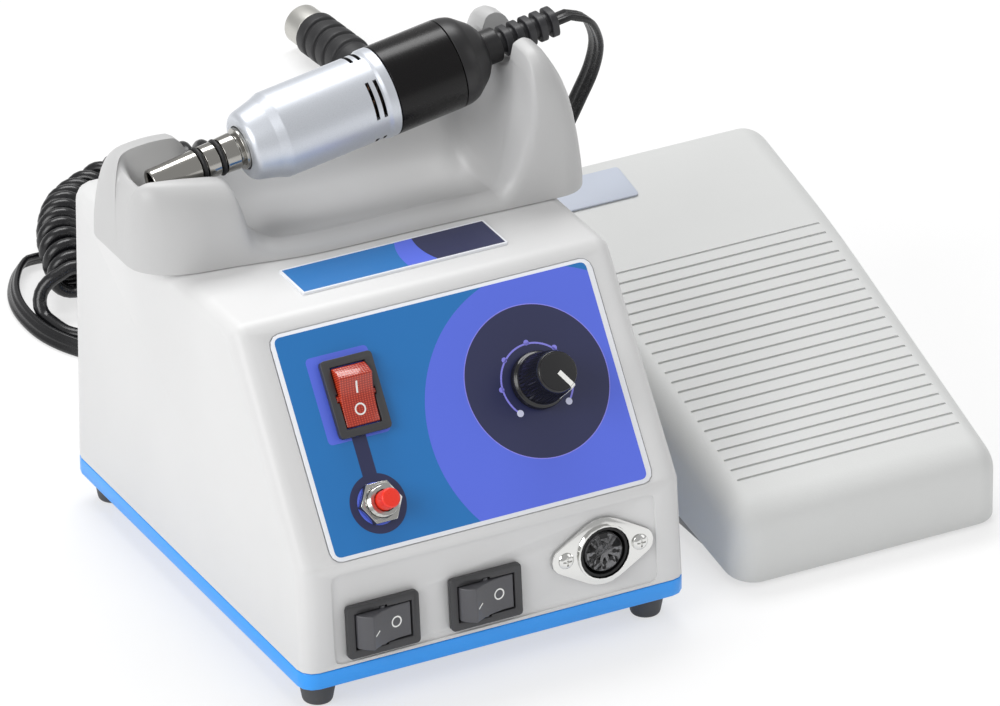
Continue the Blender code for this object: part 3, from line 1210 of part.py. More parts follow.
def make_housing(parent):
    opening = NOSE_COLLAR_RADIUS + SEAT_GAP
    front_inner = HOUSING_FRONT + HOUSING_FRONT_WALL
    edge = HOUSING_FRONT_WALL / 2
    housing = turned("motor_housing", [
        (HOUSING_FRONT, opening), (HOUSING_FRONT, HOUSING_FRONT_RADIUS - edge),
        (HOUSING_FRONT + edge / 2, HOUSING_FRONT_RADIUS), (HOUSING_CHAMFER_AT, HOUSING_CHAMFER_RADIUS),
        (HOUSING_CONE_END, CONE_RADIUS), (HOUSING_FLARE[0], CONE_RADIUS), (HOUSING_FLARE[1], BODY_RADIUS),
        (HOUSING_REAR, BODY_RADIUS), (HOUSING_REAR, BODY_BORE), (SEAT_END, BODY_BORE),
        (SEAT_END, NOSE_FLANGE_RADIUS + SEAT_GAP), (front_inner, NOSE_FLANGE_RADIUS + SEAT_GAP),
        (front_inner, opening)], ROUND_SIDES)
    for column in range(VENT_COLUMNS):
        # The angle rises from the front side of the handpiece towards its top
        middle = math.pi - VENT_START - column * 2 * math.pi / VENT_COLUMNS
        for place in VENT_PLACES:
            carve(housing, arc_cutter(BODY_BORE - CUT_OVERRUN / 2, BODY_RADIUS + CUT_OVERRUN, middle, VENT_ARC,
                                      place - VENT_WIDTH / 2, place + VENT_WIDTH / 2))
    finish(housing, parent, "B9BFC7", 0.3, 0.85)


def make_rear_body(parent):
    start = HOUSING_REAR + SEAT_GAP
    seat_end = REAR_BEARING_AT + BEARING_WIDTH + SEAT_GAP
    seat_radius = BEARING_RADIUS + SEAT_GAP
    sleeve = turned("rear_sleeve", [
        (start, BODY_BORE), (start, BODY_RADIUS), (SLEEVE_END, BODY_RADIUS), (SLEEVE_END, BODY_BORE),
        (seat_end + WEB_LIP, BODY_BORE), (seat_end + WEB_LIP, WEB_LIP_BORE), (seat_end, WEB_LIP_BORE),
        (seat_end, seat_radius), (WEB_START, seat_radius), (WEB_START, BODY_BORE)], ROUND_SIDES)
    finish(sleeve, parent, "151416", 0.32)
    start = SLEEVE_END + SEAT_GAP
    cap = turned("rear_cap", [
        (start, CAP_INNER_RADIUS), (start, BODY_RADIUS), (CAP_SHOULDER, CAP_SHOULDER_RADIUS),
        (CAP_END, CAP_END_RADIUS), (CAP_END + HOUSING_FRONT_WALL, CAP_NECK_RADIUS + HOUSING_FRONT_WALL),
        (CAP_END + HOUSING_FRONT_WALL, CAP_NECK_RADIUS), (CAP_NECK_END, CAP_NECK_RADIUS),
        (CAP_NECK_END, CAP_BORE), (CAP_INNER_DEPTH, CAP_BORE), (CAP_INNER_DEPTH, CAP_INNER_RADIUS)],
        ROUND_SIDES)
    finish(cap, parent, "18171A", 0.38)

    def ring(place, radius):
        points = []
        for k in range(SMALL_SIDES):
            a = 2 * math.pi * k / SMALL_SIDES
            swell = (abs(math.cos(a)) ** RELIEF_SQUARENESS + abs(math.sin(a)) ** RELIEF_SQUARENESS)
            reach = radius * swell ** (-1 / RELIEF_SQUARENESS) if radius == RELIEF_RADIUS else radius
            points.append((place, reach * math.cos(a), reach * math.sin(a)))
        return points

    start = CAP_NECK_END + SEAT_GAP
    pitch = (RELIEF_END - start) / RELIEF_RIBS
    rings = [ring(RELIEF_PLUG_START, RELIEF_PLUG_RADIUS), ring(start, RELIEF_PLUG_RADIUS),
             ring(start, RELIEF_GROOVE_RADIUS)]
    for rib in range(RELIEF_RIBS):
        rib_end = start + (rib + 1) * pitch
        rib_start = rib_end - pitch * RIB_SHARE
        rings += [ring(rib_start, RELIEF_GROOVE_RADIUS), ring(rib_start, RELIEF_RADIUS),
                  ring(rib_end, RELIEF_RADIUS)]
        if rib < RELIEF_RIBS - 1:
            rings.append(ring(rib_end, RELIEF_GROOVE_RADIUS))
    finish(skin("cord_relief", rings), parent, "1A1A1C", 0.55)


def make_motor(parent):
    """Fixed ring magnet, bearings, end bell and brushes."""
    magnet = turned("ring_magnet", [
        (MAGNET_START, MAGNET_BORE), (MAGNET_START, BODY_BORE - SEAT_GAP),
        (MAGNET_END, BODY_BORE - SEAT_GAP), (MAGNET_END, MAGNET_BORE)], SMALL_SIDES)
    finish(magnet, parent, "4B4C50", 0.6, 0.3)
    for name, place in (("front_bearing", BEARING_AT), ("rear_bearing", REAR_BEARING_AT)):
        bearing = turned(name, [
            (place, SHAFT_RADIUS + SEAT_GAP), (place, BEARING_RADIUS),
            (place + BEARING_WIDTH, BEARING_RADIUS), (place + BEARING_WIDTH, SHAFT_RADIUS + SEAT_GAP)],
            SMALL_SIDES)
        finish(bearing, parent, "BFC0C2", 0.25, 1.0)
    holder = turned("brush_holder", [
        (HOLDER_START, HOLDER_BORE), (HOLDER_START, BODY_BORE - SEAT_GAP),
        (HOLDER_END, BODY_BORE - SEAT_GAP), (HOLDER_END, HOLDER_BORE)], SMALL_SIDES)
    slot = (BRUSH_LENGTH_ON_AXIS / 2 + SEAT_GAP, BRUSH_WIDTH / 2 + SEAT_GAP)
    reach = BRUSH_OUT + SEAT_GAP
    carve(holder, block("cutter", (BRUSH_AT - slot[0], -slot[1], -reach), (BRUSH_AT + slot[0], slot[1], reach)))
    finish(holder, parent, "6B4A32", 0.6)
    for name, side in (("brush_upper", 1), ("brush_lower", -1)):
        ends = sorted((side * (COMMUTATOR_RADIUS + SEAT_GAP), side * BRUSH_OUT))
        brush = block(name, (BRUSH_AT - BRUSH_LENGTH_ON_AXIS / 2, -BRUSH_WIDTH / 2, ends[0]),
                      (BRUSH_AT + BRUSH_LENGTH_ON_AXIS / 2, BRUSH_WIDTH / 2, ends[1]))
        finish(brush, parent, "2A2A2A", 0.7)


def make_rotor(parent):
    """Shaft with its slotted drive end, slotted armature and commutator; they turn together."""
    neck = BEARING_AT - SEAT_GAP
    shaft = turned("rotor_shaft", [
        (DRIVE_FRONT, 0), (DRIVE_FRONT, DRIVE_RADIUS), (neck, DRIVE_RADIUS), (neck, SHAFT_RADIUS),
        (SHAFT_END, SHAFT_RADIUS), (SHAFT_END, 0)], TINY_SIDES)
    carve(shaft, block("cutter", (DRIVE_FRONT - CUT_OVERRUN, -DRIVE_SLOT / 2, -CUT_OVERRUN),
                       (DRIVE_FRONT + CUT_OVERRUN, DRIVE_SLOT / 2, CUT_OVERRUN)))
    finish(shaft, parent, "C4C4C2", 0.2, 1.0)
    outline = []
    pitch = 2 * math.pi / ARMATURE_SLOTS
    floor = ARMATURE_RADIUS - ARMATURE_SLOT_DEPTH
    lip = ARMATURE_RADIUS - ARMATURE_SLOT_DEPTH / 4
    for k in range(ARMATURE_SLOTS):
        a = k * pitch
        mouth, bottom = pitch * ARMATURE_SLOT_MOUTH_SHARE, pitch * ARMATURE_SLOT_FLOOR_SHARE
        for radius, angle in ((ARMATURE_RADIUS, a - mouth), (lip, a - mouth), (lip, a - bottom),
                              (floor, a - bottom / 2), (floor, a + bottom / 2), (lip, a + bottom),
                              (lip, a + mouth), (ARMATURE_RADIUS, a + mouth),
                              (ARMATURE_RADIUS, a + pitch / 2)):
            outline.append((radius * math.cos(angle), radius * math.sin(angle)))
    armature = skin("armature", [[(place, y, z) for y, z in outline] for place in (ARMATURE_START, ARMATURE_END)])
    bore = circle(SHAFT_RADIUS + SEAT_GAP, TINY_SIDES)
    carve(armature, skin("cutter", [[(place, y, z) for y, z in bore]
                                    for place in (ARMATURE_START - CUT_OVERRUN, ARMATURE_END + CUT_OVERRUN)]))
    finish(armature, parent, "A3623A", 0.5, 0.4)
    commutator = turned("commutator", [
        (COMMUTATOR_START, SHAFT_RADIUS + SEAT_GAP), (COMMUTATOR_START, COMMUTATOR_RADIUS),
        (COMMUTATOR_END, COMMUTATOR_RADIUS), (COMMUTATOR_END, SHAFT_RADIUS + SEAT_GAP)], SMALL_SIDES)
    finish(commutator, parent, "C27A45", 0.3, 0.9)


def pedal_top(y):
    """Height of the pedal's outer skin at a place from front to back."""
    if y < PEDAL_KNEE_Y:
        share = (y - PEDAL_FRONT) / (PEDAL_KNEE_Y - PEDAL_FRONT)
        return PEDAL_FRONT_HEIGHT + share * (PEDAL_KNEE_Z - PEDAL_FRONT_HEIGHT)
    share = (y - PEDAL_KNEE_Y) / (PEDAL_BACK - PEDAL_KNEE_Y)
    return PEDAL_KNEE_Z + share * (PEDAL_BACK_HEIGHT - PEDAL_KNEE_Z)


def pedal_shell(name, shrink):
    rise = (PEDAL_BACK - PEDAL_FRONT) * math.tan(RIM_RISE_ANGLE)
    points = inset([(PEDAL_FRONT, PEDAL_RIM), (PEDAL_BACK, PEDAL_RIM + rise), (PEDAL_BACK, PEDAL_BACK_HEIGHT),
                    (PEDAL_KNEE_Y, PEDAL_KNEE_Z), (PEDAL_FRONT, PEDAL_FRONT_HEIGHT)], shrink)
    if shrink:
        slope = math.tan(RIM_RISE_ANGLE)
        points[0] = (points[0][0], PEDAL_RIM + (points[0][0] - PEDAL_FRONT) * slope - CUT_OVERRUN)
        points[1] = (points[1][0], PEDAL_RIM + (points[1][0] - PEDAL_FRONT) * slope - CUT_OVERRUN)
    edge = PEDAL_EDGE_RADIUS - shrink
    profile = rounded(points, [0, 0, edge, edge, edge])
    start, end = Vector(points[0]), Vector(points[1])
    normal = Vector((start.y - end.y, end.x - start.x)).normalized()
    return soft_prism(name, profile, PEDAL_LEFT + shrink, PEDAL_LEFT + PEDAL_WIDTH - shrink,
                      PEDAL_FILLET - shrink,
                      lambda place: (Vector((place.y, place.z)) - start).dot(normal) < SEAT_GAP)


def x_prism(name, outline, low, high):
    """An outline (y, z) extruded along X."""
    return skin(name, [[(x, y, z) for y, z in outline] for x in (low, high)])


def make_pedal(parent):
    middle = PEDAL_LEFT + PEDAL_WIDTH / 2
    pin_place = (PEDAL_PIN_Y, PEDAL_PIN_Z)
    make_pedal_pan(parent, middle, pin_place)
    hinge = frame("pedal_hinge", parent, (middle, *pin_place))
    back_to_hinge = Matrix.Translation(-Vector(hinge.location))
    tread = carve(pedal_shell("pedal_tread", 0), pedal_shell("cutter", PEDAL_WALL))
    half = TREAD_LINE_LENGTH / 2
    angle = math.atan2(PEDAL_KNEE_Z - PEDAL_FRONT_HEIGHT, PEDAL_KNEE_Y - PEDAL_FRONT)
    for k in range(TREAD_LINES):
        y = TREAD_FIRST_Y + (TREAD_LAST_Y - TREAD_FIRST_Y) * k / (TREAD_LINES - 1)
        line = block("cutter", (-half, -TREAD_LINE_WIDTH / 2, -TREAD_LINE_DEPTH),
                     (half, TREAD_LINE_WIDTH / 2, CUT_OVERRUN))
        carve(tread, moved(line, Matrix.Translation((middle, y, pedal_top(y))) @ Matrix.Rotation(angle, 4, "X")))
    lug_inner = EAR_SPREAD - 2 * EAR_THICKNESS - SEAT_GAP
    for side in (-1, 1):
        ends = sorted(middle + side * reach for reach in (lug_inner, lug_inner + EAR_THICKNESS))
        lug = [(PEDAL_PIN_Y - EAR_RADIUS, PEDAL_FRONT_HEIGHT), *arc_points(EAR_RADIUS, math.pi, 2 * math.pi, 6, pin_place),
               (PEDAL_PIN_Y + EAR_RADIUS, PEDAL_FRONT_HEIGHT)]
        join_on(tread, x_prism("lug", lug, *ends))
    for y, low in ((SPRING_Y, SPRING_TOP), (SLIDER_Y, SLIDER_TOP + SEAT_GAP)):
        join_on(tread, prism("boss", circle(BOSS_RADIUS, TINY_SIDES, (middle, y)), low,
                             pedal_top(y) - PEDAL_WALL / 2))
    join_on(tread, prism("seat", circle(SPRING_RADIUS + SPRING_WIRE, TINY_SIDES, (middle, SPRING_Y)),
                         SPRING_TOP + SEAT_GAP, pedal_top(SPRING_Y) - PEDAL_WALL / 2))
    bore = circle(PEDAL_PIN_RADIUS + SEAT_GAP, TINY_SIDES, pin_place)
    carve(tread, x_prism("cutter", bore, middle - EAR_SPREAD, middle + EAR_SPREAD))
    finish(moved(tread, back_to_hinge), hinge, "DFE0DF", 0.5)
    pin = x_prism("pedal_pin", circle(PEDAL_PIN_RADIUS, TINY_SIDES, pin_place),
                  middle - EAR_SPREAD - SEAT_GAP, middle + EAR_SPREAD + SEAT_GAP)
    finish(pin, parent, "BDBDBB", 0.3, 1.0)
    flat_angle = math.atan2(PEDAL_BACK_HEIGHT - PEDAL_KNEE_Z, PEDAL_BACK - PEDAL_KNEE_Y)
    centre_y = LABEL_BACK - LABEL_DEPTH / 2
    label = prism("pedal_label", rounded_rectangle(LABEL_LENGTH, LABEL_DEPTH, SWITCH_CORNER, steps=2),
                  SEAT_GAP, SEAT_GAP + LABEL_THICKNESS)
    place = Matrix.Translation((LABEL_RIGHT - LABEL_LENGTH / 2, centre_y, pedal_top(centre_y)))
    moved(label, back_to_hinge @ place @ Matrix.Rotation(flat_angle, 4, "X"))
    finish(label, hinge, "C3C8D2", 0.4, 0.3)
    make_pedal_inside(parent, middle)


def make_pedal_pan(parent, middle, pin_place):
    inside = PEDAL_WALL + PAN_SIDE_CLEARANCE
    pan = prism("pedal_base", rounded_rectangle(
        PEDAL_WIDTH - 2 * inside, PAN_BACK - PAN_FRONT, PAN_CORNER, (middle, (PAN_FRONT + PAN_BACK) / 2)),
        0, PAN_THICKNESS)
    for side in (-1, 1):
        ends = sorted(middle + side * reach for reach in (EAR_SPREAD - EAR_THICKNESS, EAR_SPREAD))
        ear = [(PEDAL_PIN_Y + EAR_RADIUS, PAN_THICKNESS / 2), *arc_points(EAR_RADIUS, 0, math.pi, 6, pin_place),
               (PEDAL_PIN_Y - EAR_RADIUS, PAN_THICKNESS / 2)]
        join_on(pan, x_prism("ear", ear, *ends))
    bore = circle(PEDAL_PIN_RADIUS + SEAT_GAP, TINY_SIDES, pin_place)
    carve(pan, x_prism("cutter", bore, middle - EAR_SPREAD - CUT_OVERRUN, middle + EAR_SPREAD + CUT_OVERRUN))
    join_on(pan, prism("guide", circle(SPRING_GUIDE_RADIUS, TINY_SIDES, (middle, SPRING_Y)),
                       PAN_THICKNESS / 2, PAN_THICKNESS + SPRING_GUIDE_HEIGHT))
    finish(pan, parent, "8E8F90", 0.6)


def make_pedal_inside(parent, middle):
    low = PAN_THICKNESS + SEAT_GAP
    half = RESISTOR_WIDTH / 2
    resistor = block("pedal_resistor", (middle - half, SLIDER_Y - half, low),
                     (middle + half, SLIDER_Y + half, low + RESISTOR_HEIGHT))
    carve(resistor, prism("cutter", circle(SLIDER_RADIUS + RUN_GAP, TINY_SIDES, (middle, SLIDER_Y)),
                          low + RESISTOR_FLOOR, low + RESISTOR_HEIGHT + CUT_OVERRUN))
    finish(resistor, parent, "3A4A5C", 0.5)
    guide = frame("pedal_slider_guide", parent, (middle, SLIDER_Y, 0))
    dome = [(SLIDER_RADIUS * math.cos(a), SLIDER_TOP - SLIDER_RADIUS * (1 - math.sin(a)))
            for a in (math.pi / 2 * k / 3 for k in range(3))]
    slider = lathe("pedal_slider", [(0, SLIDER_TOP - SLIDER_LENGTH), (SLIDER_RADIUS, SLIDER_TOP - SLIDER_LENGTH),
                                    *dome, (0, SLIDER_TOP)], TINY_SIDES)
    finish(slider, guide, "D8D4C8", 0.5)
    start, end = low + SPRING_WIRE / 2, SPRING_TOP - SPRING_WIRE / 2
    count = SPRING_TURNS * SPRING_POINTS_A_TURN
    points = []
    for k in range(count + 1):
        share = k / count
        a = 2 * math.pi * SPRING_TURNS * share
        points.append((middle + SPRING_RADIUS * math.cos(a), SPRING_Y + SPRING_RADIUS * math.sin(a),
                       start + (end - start) * share))
    print("pedal spring least gap", round(least_gap(points, SPRING_WIRE, SPRING_POINTS_A_TURN // 2), 5))
    finish(tube("pedal_spring", points, SPRING_WIRE, 1), parent, "B8B8B6", 0.35, 1.0)


def coil_points():
    """The curly stretch: a helix about a curved axis, let out a little over its middle."""
    axis = smooth_route(COIL_AXIS, SEAT_GAP)
    runs = np.concatenate([[0], np.cumsum(np.linalg.norm(np.diff(axis, axis=0), axis=1))])
    total = runs[-1]
    shares = runs / total
    bump = np.exp(-((shares - COIL_STRETCH_AT_SHARE) / COIL_STRETCH_SPAN_SHARE) ** 2)
    turns = np.concatenate([[0], np.cumsum(np.diff(runs) / (COIL_PITCH + COIL_STRETCH * bump[1:]))])
    whole = round(turns[-1] + (COIL_START_ANGLE - COIL_END_ANGLE) / (2 * math.pi)) \
        - (COIL_START_ANGLE - COIL_END_ANGLE) / (2 * math.pi)
    turns *= whole / turns[-1]
    count = round(whole * COIL_POINTS_A_TURN)
    points = []
    for k in range(count + 1):
        turn = whole * k / count
        at = np.interp(turn, turns, runs)
        place = np.array([np.interp(at, runs, axis[:, i]) for i in range(3)])
        ahead = np.array([np.interp(min(at + CORD_DIAMETER, total), runs, axis[:, i]) for i in range(3)])
        behind = np.array([np.interp(max(at - CORD_DIAMETER, 0), runs, axis[:, i]) for i in range(3)])
        along = Vector(ahead - behind).normalized()
        left = Vector((-along.y, along.x, 0)).normalized()
        up = along.cross(left)
        a = COIL_START_ANGLE + 2 * math.pi * turn
        points.append(tuple(Vector(place) + COIL_RADIUS * (left * math.cos(a) + up * math.sin(a))))
    return points


def hand_place(along, across=0.0):
    """A place beside the handpiece's axis, in the unit's frame."""
    c, s = math.cos(HAND_TILT), math.sin(HAND_TILT)
    return (TIP_X + along * c - across * s, CRADLE_Y, TIP_Z + along * s + across * c)


def make_cord(parent):
    exit_place = RELIEF_END + SEAT_GAP
    route = smooth_route([hand_place(exit_place + CORD_DIAMETER), *CORD_POINTS], CORD_STEP)
    lead = np.vstack([hand_place(exit_place), route])
    lead[:, 2] = np.maximum(lead[:, 2], CORD_REST)
    print("cord length", round(float(np.linalg.norm(np.diff(lead, axis=0), axis=1).sum()), 4),
          "least gap", round(least_gap(lead, CORD_DIAMETER, 2), 5))
    finish(tube("cord_lead", lead, CORD_DIAMETER, 2), parent, "17171A", 0.4)
    gap = Vector(COIL_LEAD_IN[0]) - Vector(CORD_POINTS[-1])
    tail_start = Vector(CORD_POINTS[-1]) + gap.normalized() * RUN_GAP
    plug_direction = Vector((math.cos(PLUG_ANGLE), math.sin(PLUG_ANGLE), 0))
    rear = Vector((*PLUG_TIP, GRIP_RADIUS + SEAT_GAP)) - plug_direction * PLUG_LENGTH
    end = rear - plug_direction * RUN_GAP
    coil = coil_points()
    lead_in = smooth_route([tuple(tail_start), *COIL_LEAD_IN, coil[0], coil[1]], CORD_DIAMETER)[:-2]
    straight = end - plug_direction * CORD_DIAMETER
    lead_out = smooth_route([coil[-2], coil[-1], *COIL_LEAD_OUT, tuple(straight)], CORD_DIAMETER * 1.5)[2:]
    points = [*map(tuple, lead_in), *coil, *map(tuple, lead_out), tuple(end)]
    print("curly cord points", len(points), "least gap", round(least_gap(points, CORD_DIAMETER, 4), 5))
    finish(tube("cord_curls", points, CORD_DIAMETER, 1), parent, "17171A", 0.4)
    make_plug(parent, rear, plug_direction)


def make_plug(parent, rear, direction):
    """Moulded grip with moulding ribs, chrome shell with its pins on a round base."""
    side = Vector((-direction.y, direction.x, 0))
    matrix = Matrix((direction, side, (0, 0, 1))).transposed().to_4x4()
    matrix.translation = rear
    grip_end = PLUG_LENGTH - SHELL_LENGTH - SEAT_GAP
    steps = [(0, 0), (0, GRIP_REAR_RADIUS)]
    first = grip_end - GRIP_RIBS * (GRIP_RIB_LENGTH + GRIP_RIB_GAP)
    steps.append((first / 2, GRIP_GROOVE_RADIUS - GRIP_RIB_GAP / 2))
    for rib in range(GRIP_RIBS):
        rib_start = first + rib * (GRIP_RIB_LENGTH + GRIP_RIB_GAP) + GRIP_RIB_GAP
        steps += [(rib_start - GRIP_RIB_GAP, GRIP_GROOVE_RADIUS), (rib_start, GRIP_GROOVE_RADIUS),
                  (rib_start, GRIP_RADIUS), (rib_start + GRIP_RIB_LENGTH, GRIP_RADIUS)]
    steps += [(grip_end, 0)]
    grip = turned("plug_grip", steps, SMALL_SIDES)
    finish(moved(grip, matrix), parent, "1C1C1F", 0.5)
    start = PLUG_LENGTH - SHELL_LENGTH
    inner = SHELL_RADIUS - SHELL_WALL
    shell = turned("plug_shell", [
        (start, 0), (start, SHELL_RADIUS), (PLUG_LENGTH, SHELL_RADIUS), (PLUG_LENGTH, inner),
        (start + SHELL_BASE, inner), (start + SHELL_BASE, 0)], SMALL_SIDES)
    for angle in PIN_ANGLES:
        a = math.radians(angle)
        ring = circle(PLUG_PIN_RADIUS, 6, (PIN_CIRCLE_RADIUS * math.cos(a), PIN_CIRCLE_RADIUS * math.sin(a)))
        join_on(shell, skin("pin", [[(place, y, z) for y, z in ring]
                                    for place in (start + SHELL_BASE / 2, start + PLUG_PIN_LENGTH)]))
    finish(moved(shell, matrix), parent, "C6C4BF", 0.25, 1.0)


def centre_on_table(unit):
    """Move the set so that its origin is on the table below the middle of everything but the cord."""
    bpy.context.view_layer.update()
    cord_names = ("cord_lead", "cord_curls", "plug_grip", "plug_shell")
    corners = [thing.matrix_world @ Vector(corner) for thing in bpy.data.objects
               if thing.type == "MESH" and thing.name not in cord_names for corner in thing.bound_box]
    low = [min(c[k] for c in corners) for k in range(3)]
    high = [max(c[k] for c in corners) for k in range(3)]
    unit.location = (-(low[0] + high[0]) / 2, -(low[1] + high[1]) / 2, -low[2])
    bpy.context.view_layer.update()
    print("unit frame at", [round(value, 6) for value in unit.location],
          "size", [round(b - a, 5) for a, b in zip(low, high)])


def main():
    clear_scene()
    unit = frame("unit_frame", None, (0, 0, 0))
    make_case(unit)
    make_tray(unit)
    make_feet(unit)
    make_films(unit)
    film_top = SEAT_GAP - PANEL_SINK + FILM_THICKNESS
    make_switch("power", unit, slope_matrix(), (POWER_SWITCH_X, POWER_SWITCH_T), film_top + SEAT_GAP, True,
                "B3261B", 0.25)
    for name, place in (("mode", (MODE_SWITCH_X, MODE_SWITCH_T)),
                        ("direction", (DIRECTION_SWITCH_X, DIRECTION_SWITCH_T))):
        make_switch(name, unit, front_matrix(), place, SEAT_GAP - FIELD_SINK, False, "2F2F31", 0.4)
    make_breaker(unit)
    make_speed_control(unit)
    make_motor_socket(unit)
    make_rear_fittings(unit)
    make_insides(unit)
    make_cradle(unit)
    handpiece = frame("handpiece_axis", unit, (TIP_X, CRADLE_Y, TIP_Z), Matrix.Rotation(-HAND_TILT, 3, "Y"))
    make_nose(handpiece)
    make_housing(handpiece)
    make_rear_body(handpiece)
    make_motor(handpiece)
    rotor = frame("rotor_axis", handpiece, (0, 0, 0))
    make_rotor(rotor)
    make_pedal(unit)
    make_cord(unit)
    centre_on_table(unit)


main()
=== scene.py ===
# %% [markdown]
# Dental laboratory micromotor. The solids of the set come in as a fixed frame, in metres, with the origin
# on the table under the middle of the control unit and the pedal. This file gives them their looks: it
# keeps the solids whose shape is right, gives each a finish, and makes finer pieces where the eye would
# see a facet.

# %% Load the frame
import math

import bmesh
import bpy
import numpy as np
from mathutils import Matrix, Vector


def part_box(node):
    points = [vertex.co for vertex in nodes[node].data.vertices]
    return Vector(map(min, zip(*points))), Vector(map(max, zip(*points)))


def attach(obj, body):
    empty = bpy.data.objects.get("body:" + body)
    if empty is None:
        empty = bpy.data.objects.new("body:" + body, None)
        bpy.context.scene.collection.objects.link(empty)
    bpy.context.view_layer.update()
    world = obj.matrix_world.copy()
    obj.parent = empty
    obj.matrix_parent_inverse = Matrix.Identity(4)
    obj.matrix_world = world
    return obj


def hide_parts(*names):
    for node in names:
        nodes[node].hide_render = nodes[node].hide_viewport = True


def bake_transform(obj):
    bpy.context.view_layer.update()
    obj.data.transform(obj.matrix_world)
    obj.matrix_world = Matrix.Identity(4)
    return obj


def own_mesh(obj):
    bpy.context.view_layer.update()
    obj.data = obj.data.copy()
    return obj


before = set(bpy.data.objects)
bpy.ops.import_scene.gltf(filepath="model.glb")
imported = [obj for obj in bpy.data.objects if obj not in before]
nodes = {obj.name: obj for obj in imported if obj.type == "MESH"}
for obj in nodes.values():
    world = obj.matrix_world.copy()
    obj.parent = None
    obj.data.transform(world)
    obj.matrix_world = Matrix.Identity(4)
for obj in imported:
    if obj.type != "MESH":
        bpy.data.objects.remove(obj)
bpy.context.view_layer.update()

MM = 0.001
case_low, case_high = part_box("case_shell")
UNIT = Vector(((case_low.x + case_high.x) / 2, case_low.y, 0))
print("front middle of the control unit:", [round(v, 5) for v in UNIT])


def in_scene(name, data):
    """A new object, linked into the scene."""
    thing = bpy.data.objects.new(name, data)
    bpy.context.scene.collection.objects.link(thing)
    return thing


# %% [markdown]
# A product photograph is taken from far away with a long lens, so that parallel edges stay nearly
# parallel. The camera's place, its turn and its focal length were worked out from the corners of the
# case. A lens of 391 mm on a 36 mm sensor sees the set as the photograph does.

# %% Camera
CAMERA_OFFSET = Vector((-1.1394, -2.1924, 1.4310))
SENSOR_WIDTH, FOCAL_LENGTH = 36, 390.84
YAW, PITCH, ROLL = math.radians(27.484), math.radians(28.410), math.radians(-0.330)
forward = Vector((math.sin(YAW) * math.cos(PITCH), math.cos(YAW) * math.cos(PITCH), -math.sin(PITCH)))
level = Vector((math.cos(YAW), -math.sin(YAW), 0))
upward = level.cross(forward)
right = level * math.cos(ROLL) + upward * math.sin(ROLL)
above = upward * math.cos(ROLL) - level * math.sin(ROLL)
lens = bpy.data.cameras.new("studio_camera")
lens.sensor_width, lens.lens = SENSOR_WIDTH, FOCAL_LENGTH
lens.clip_start, lens.clip_end = 0.1, 30
camera = in_scene("studio_camera", lens)
turn = Matrix((right, above, -forward)).transposed()
camera.matrix_world = Matrix.Translation(UNIT + CAMERA_OFFSET) @ turn.to_4x4()
bpy.context.scene.camera = camera
print("camera at", [round(v, 3) for v in camera.location])

# %% [markdown]
# Nodes are easier to read when adding one takes a single line. The function below adds any node, sets its
# properties by name and links or fills its inputs. A second one turns the hex colours that a designer
# picks on screen into the linear values that the renderer needs.

# %% Small helpers for materials
GLOSSIEST = 0.03


def linear(colour, share=1.0):
    """An sRGB hex colour as linear red, green, blue and alpha; share makes it darker or lighter."""
    parts = [int(colour[k:k + 2], 16) / 255 for k in (0, 2, 4)]
    parts = [c / 12.92 if c <= 0.04045 else ((c + 0.055) / 1.055) ** 2.4 for c in parts]
    return (*[min(1, c * share) for c in parts], 1)


def add(tree, kind, inputs=None, **settings):
    """Add a node; an input is a value, or a socket to link from."""
    node = tree.nodes.new(kind)
    for name, value in settings.items():
        setattr(node, name, value)
    for name, value in (inputs or {}).items():
        if isinstance(value, bpy.types.NodeSocket):
            tree.links.new(value, node.inputs[name])
        else:
            node.inputs[name].default_value = value
    return node


def blank_material(name):
    """A new material with its tree, its shader and the place of each point in the scene."""
    material = bpy.data.materials.new(name)
    material.use_nodes = True
    tree = material.node_tree
    return material, tree, tree.nodes["Principled BSDF"], add(tree, "ShaderNodeTexCoord").outputs["Object"]


def two_tones(tree, shader, pattern, first, second):
    """Base colour blended between two colours by a pattern."""
    blend = add(tree, "ShaderNodeMix", {0: pattern, 6: first, 7: second}, data_type="RGBA")
    tree.links.new(blend.outputs[2], shader.inputs["Base Color"])


def bumped(tree, shader, pattern, strength, distance):
    """Let a pattern tilt the surface; the distance is in millimetres."""
    bump = add(tree, "ShaderNodeBump", {"Height": pattern, "Strength": strength, "Distance": distance * MM})
    tree.links.new(bump.outputs["Normal"], shader.inputs["Normal"])


def varied_gloss(tree, shader, pattern, roughness, less, more):
    """Roughness spread about a value by a pattern."""
    spread = add(tree, "ShaderNodeMapRange", {
        "Value": pattern, "To Min": max(GLOSSIEST, roughness - less), "To Max": roughness + more})
    tree.links.new(spread.outputs["Result"], shader.inputs["Roughness"])


# %% [markdown]
# Injection-moulded ABS and polystyrene have a fine spark-eroded grain from the mould. It breaks up the
# highlight into a soft sheen. The real grain is about 0.1 mm; it is drawn at 0.35 mm here, because
# anything finer would vanish in the picture. A slow, faint change of tone keeps large faces from looking
# like paper.

# %% Moulded plastics
CLOUD_SCALE, GRAIN_STRENGTH, GRAIN_REACH = 28.0, 0.35, 4
STREAK_SCALE, STREAK_SQUEEZE, STREAK_DEPTH = 160.0, 26, 0.02


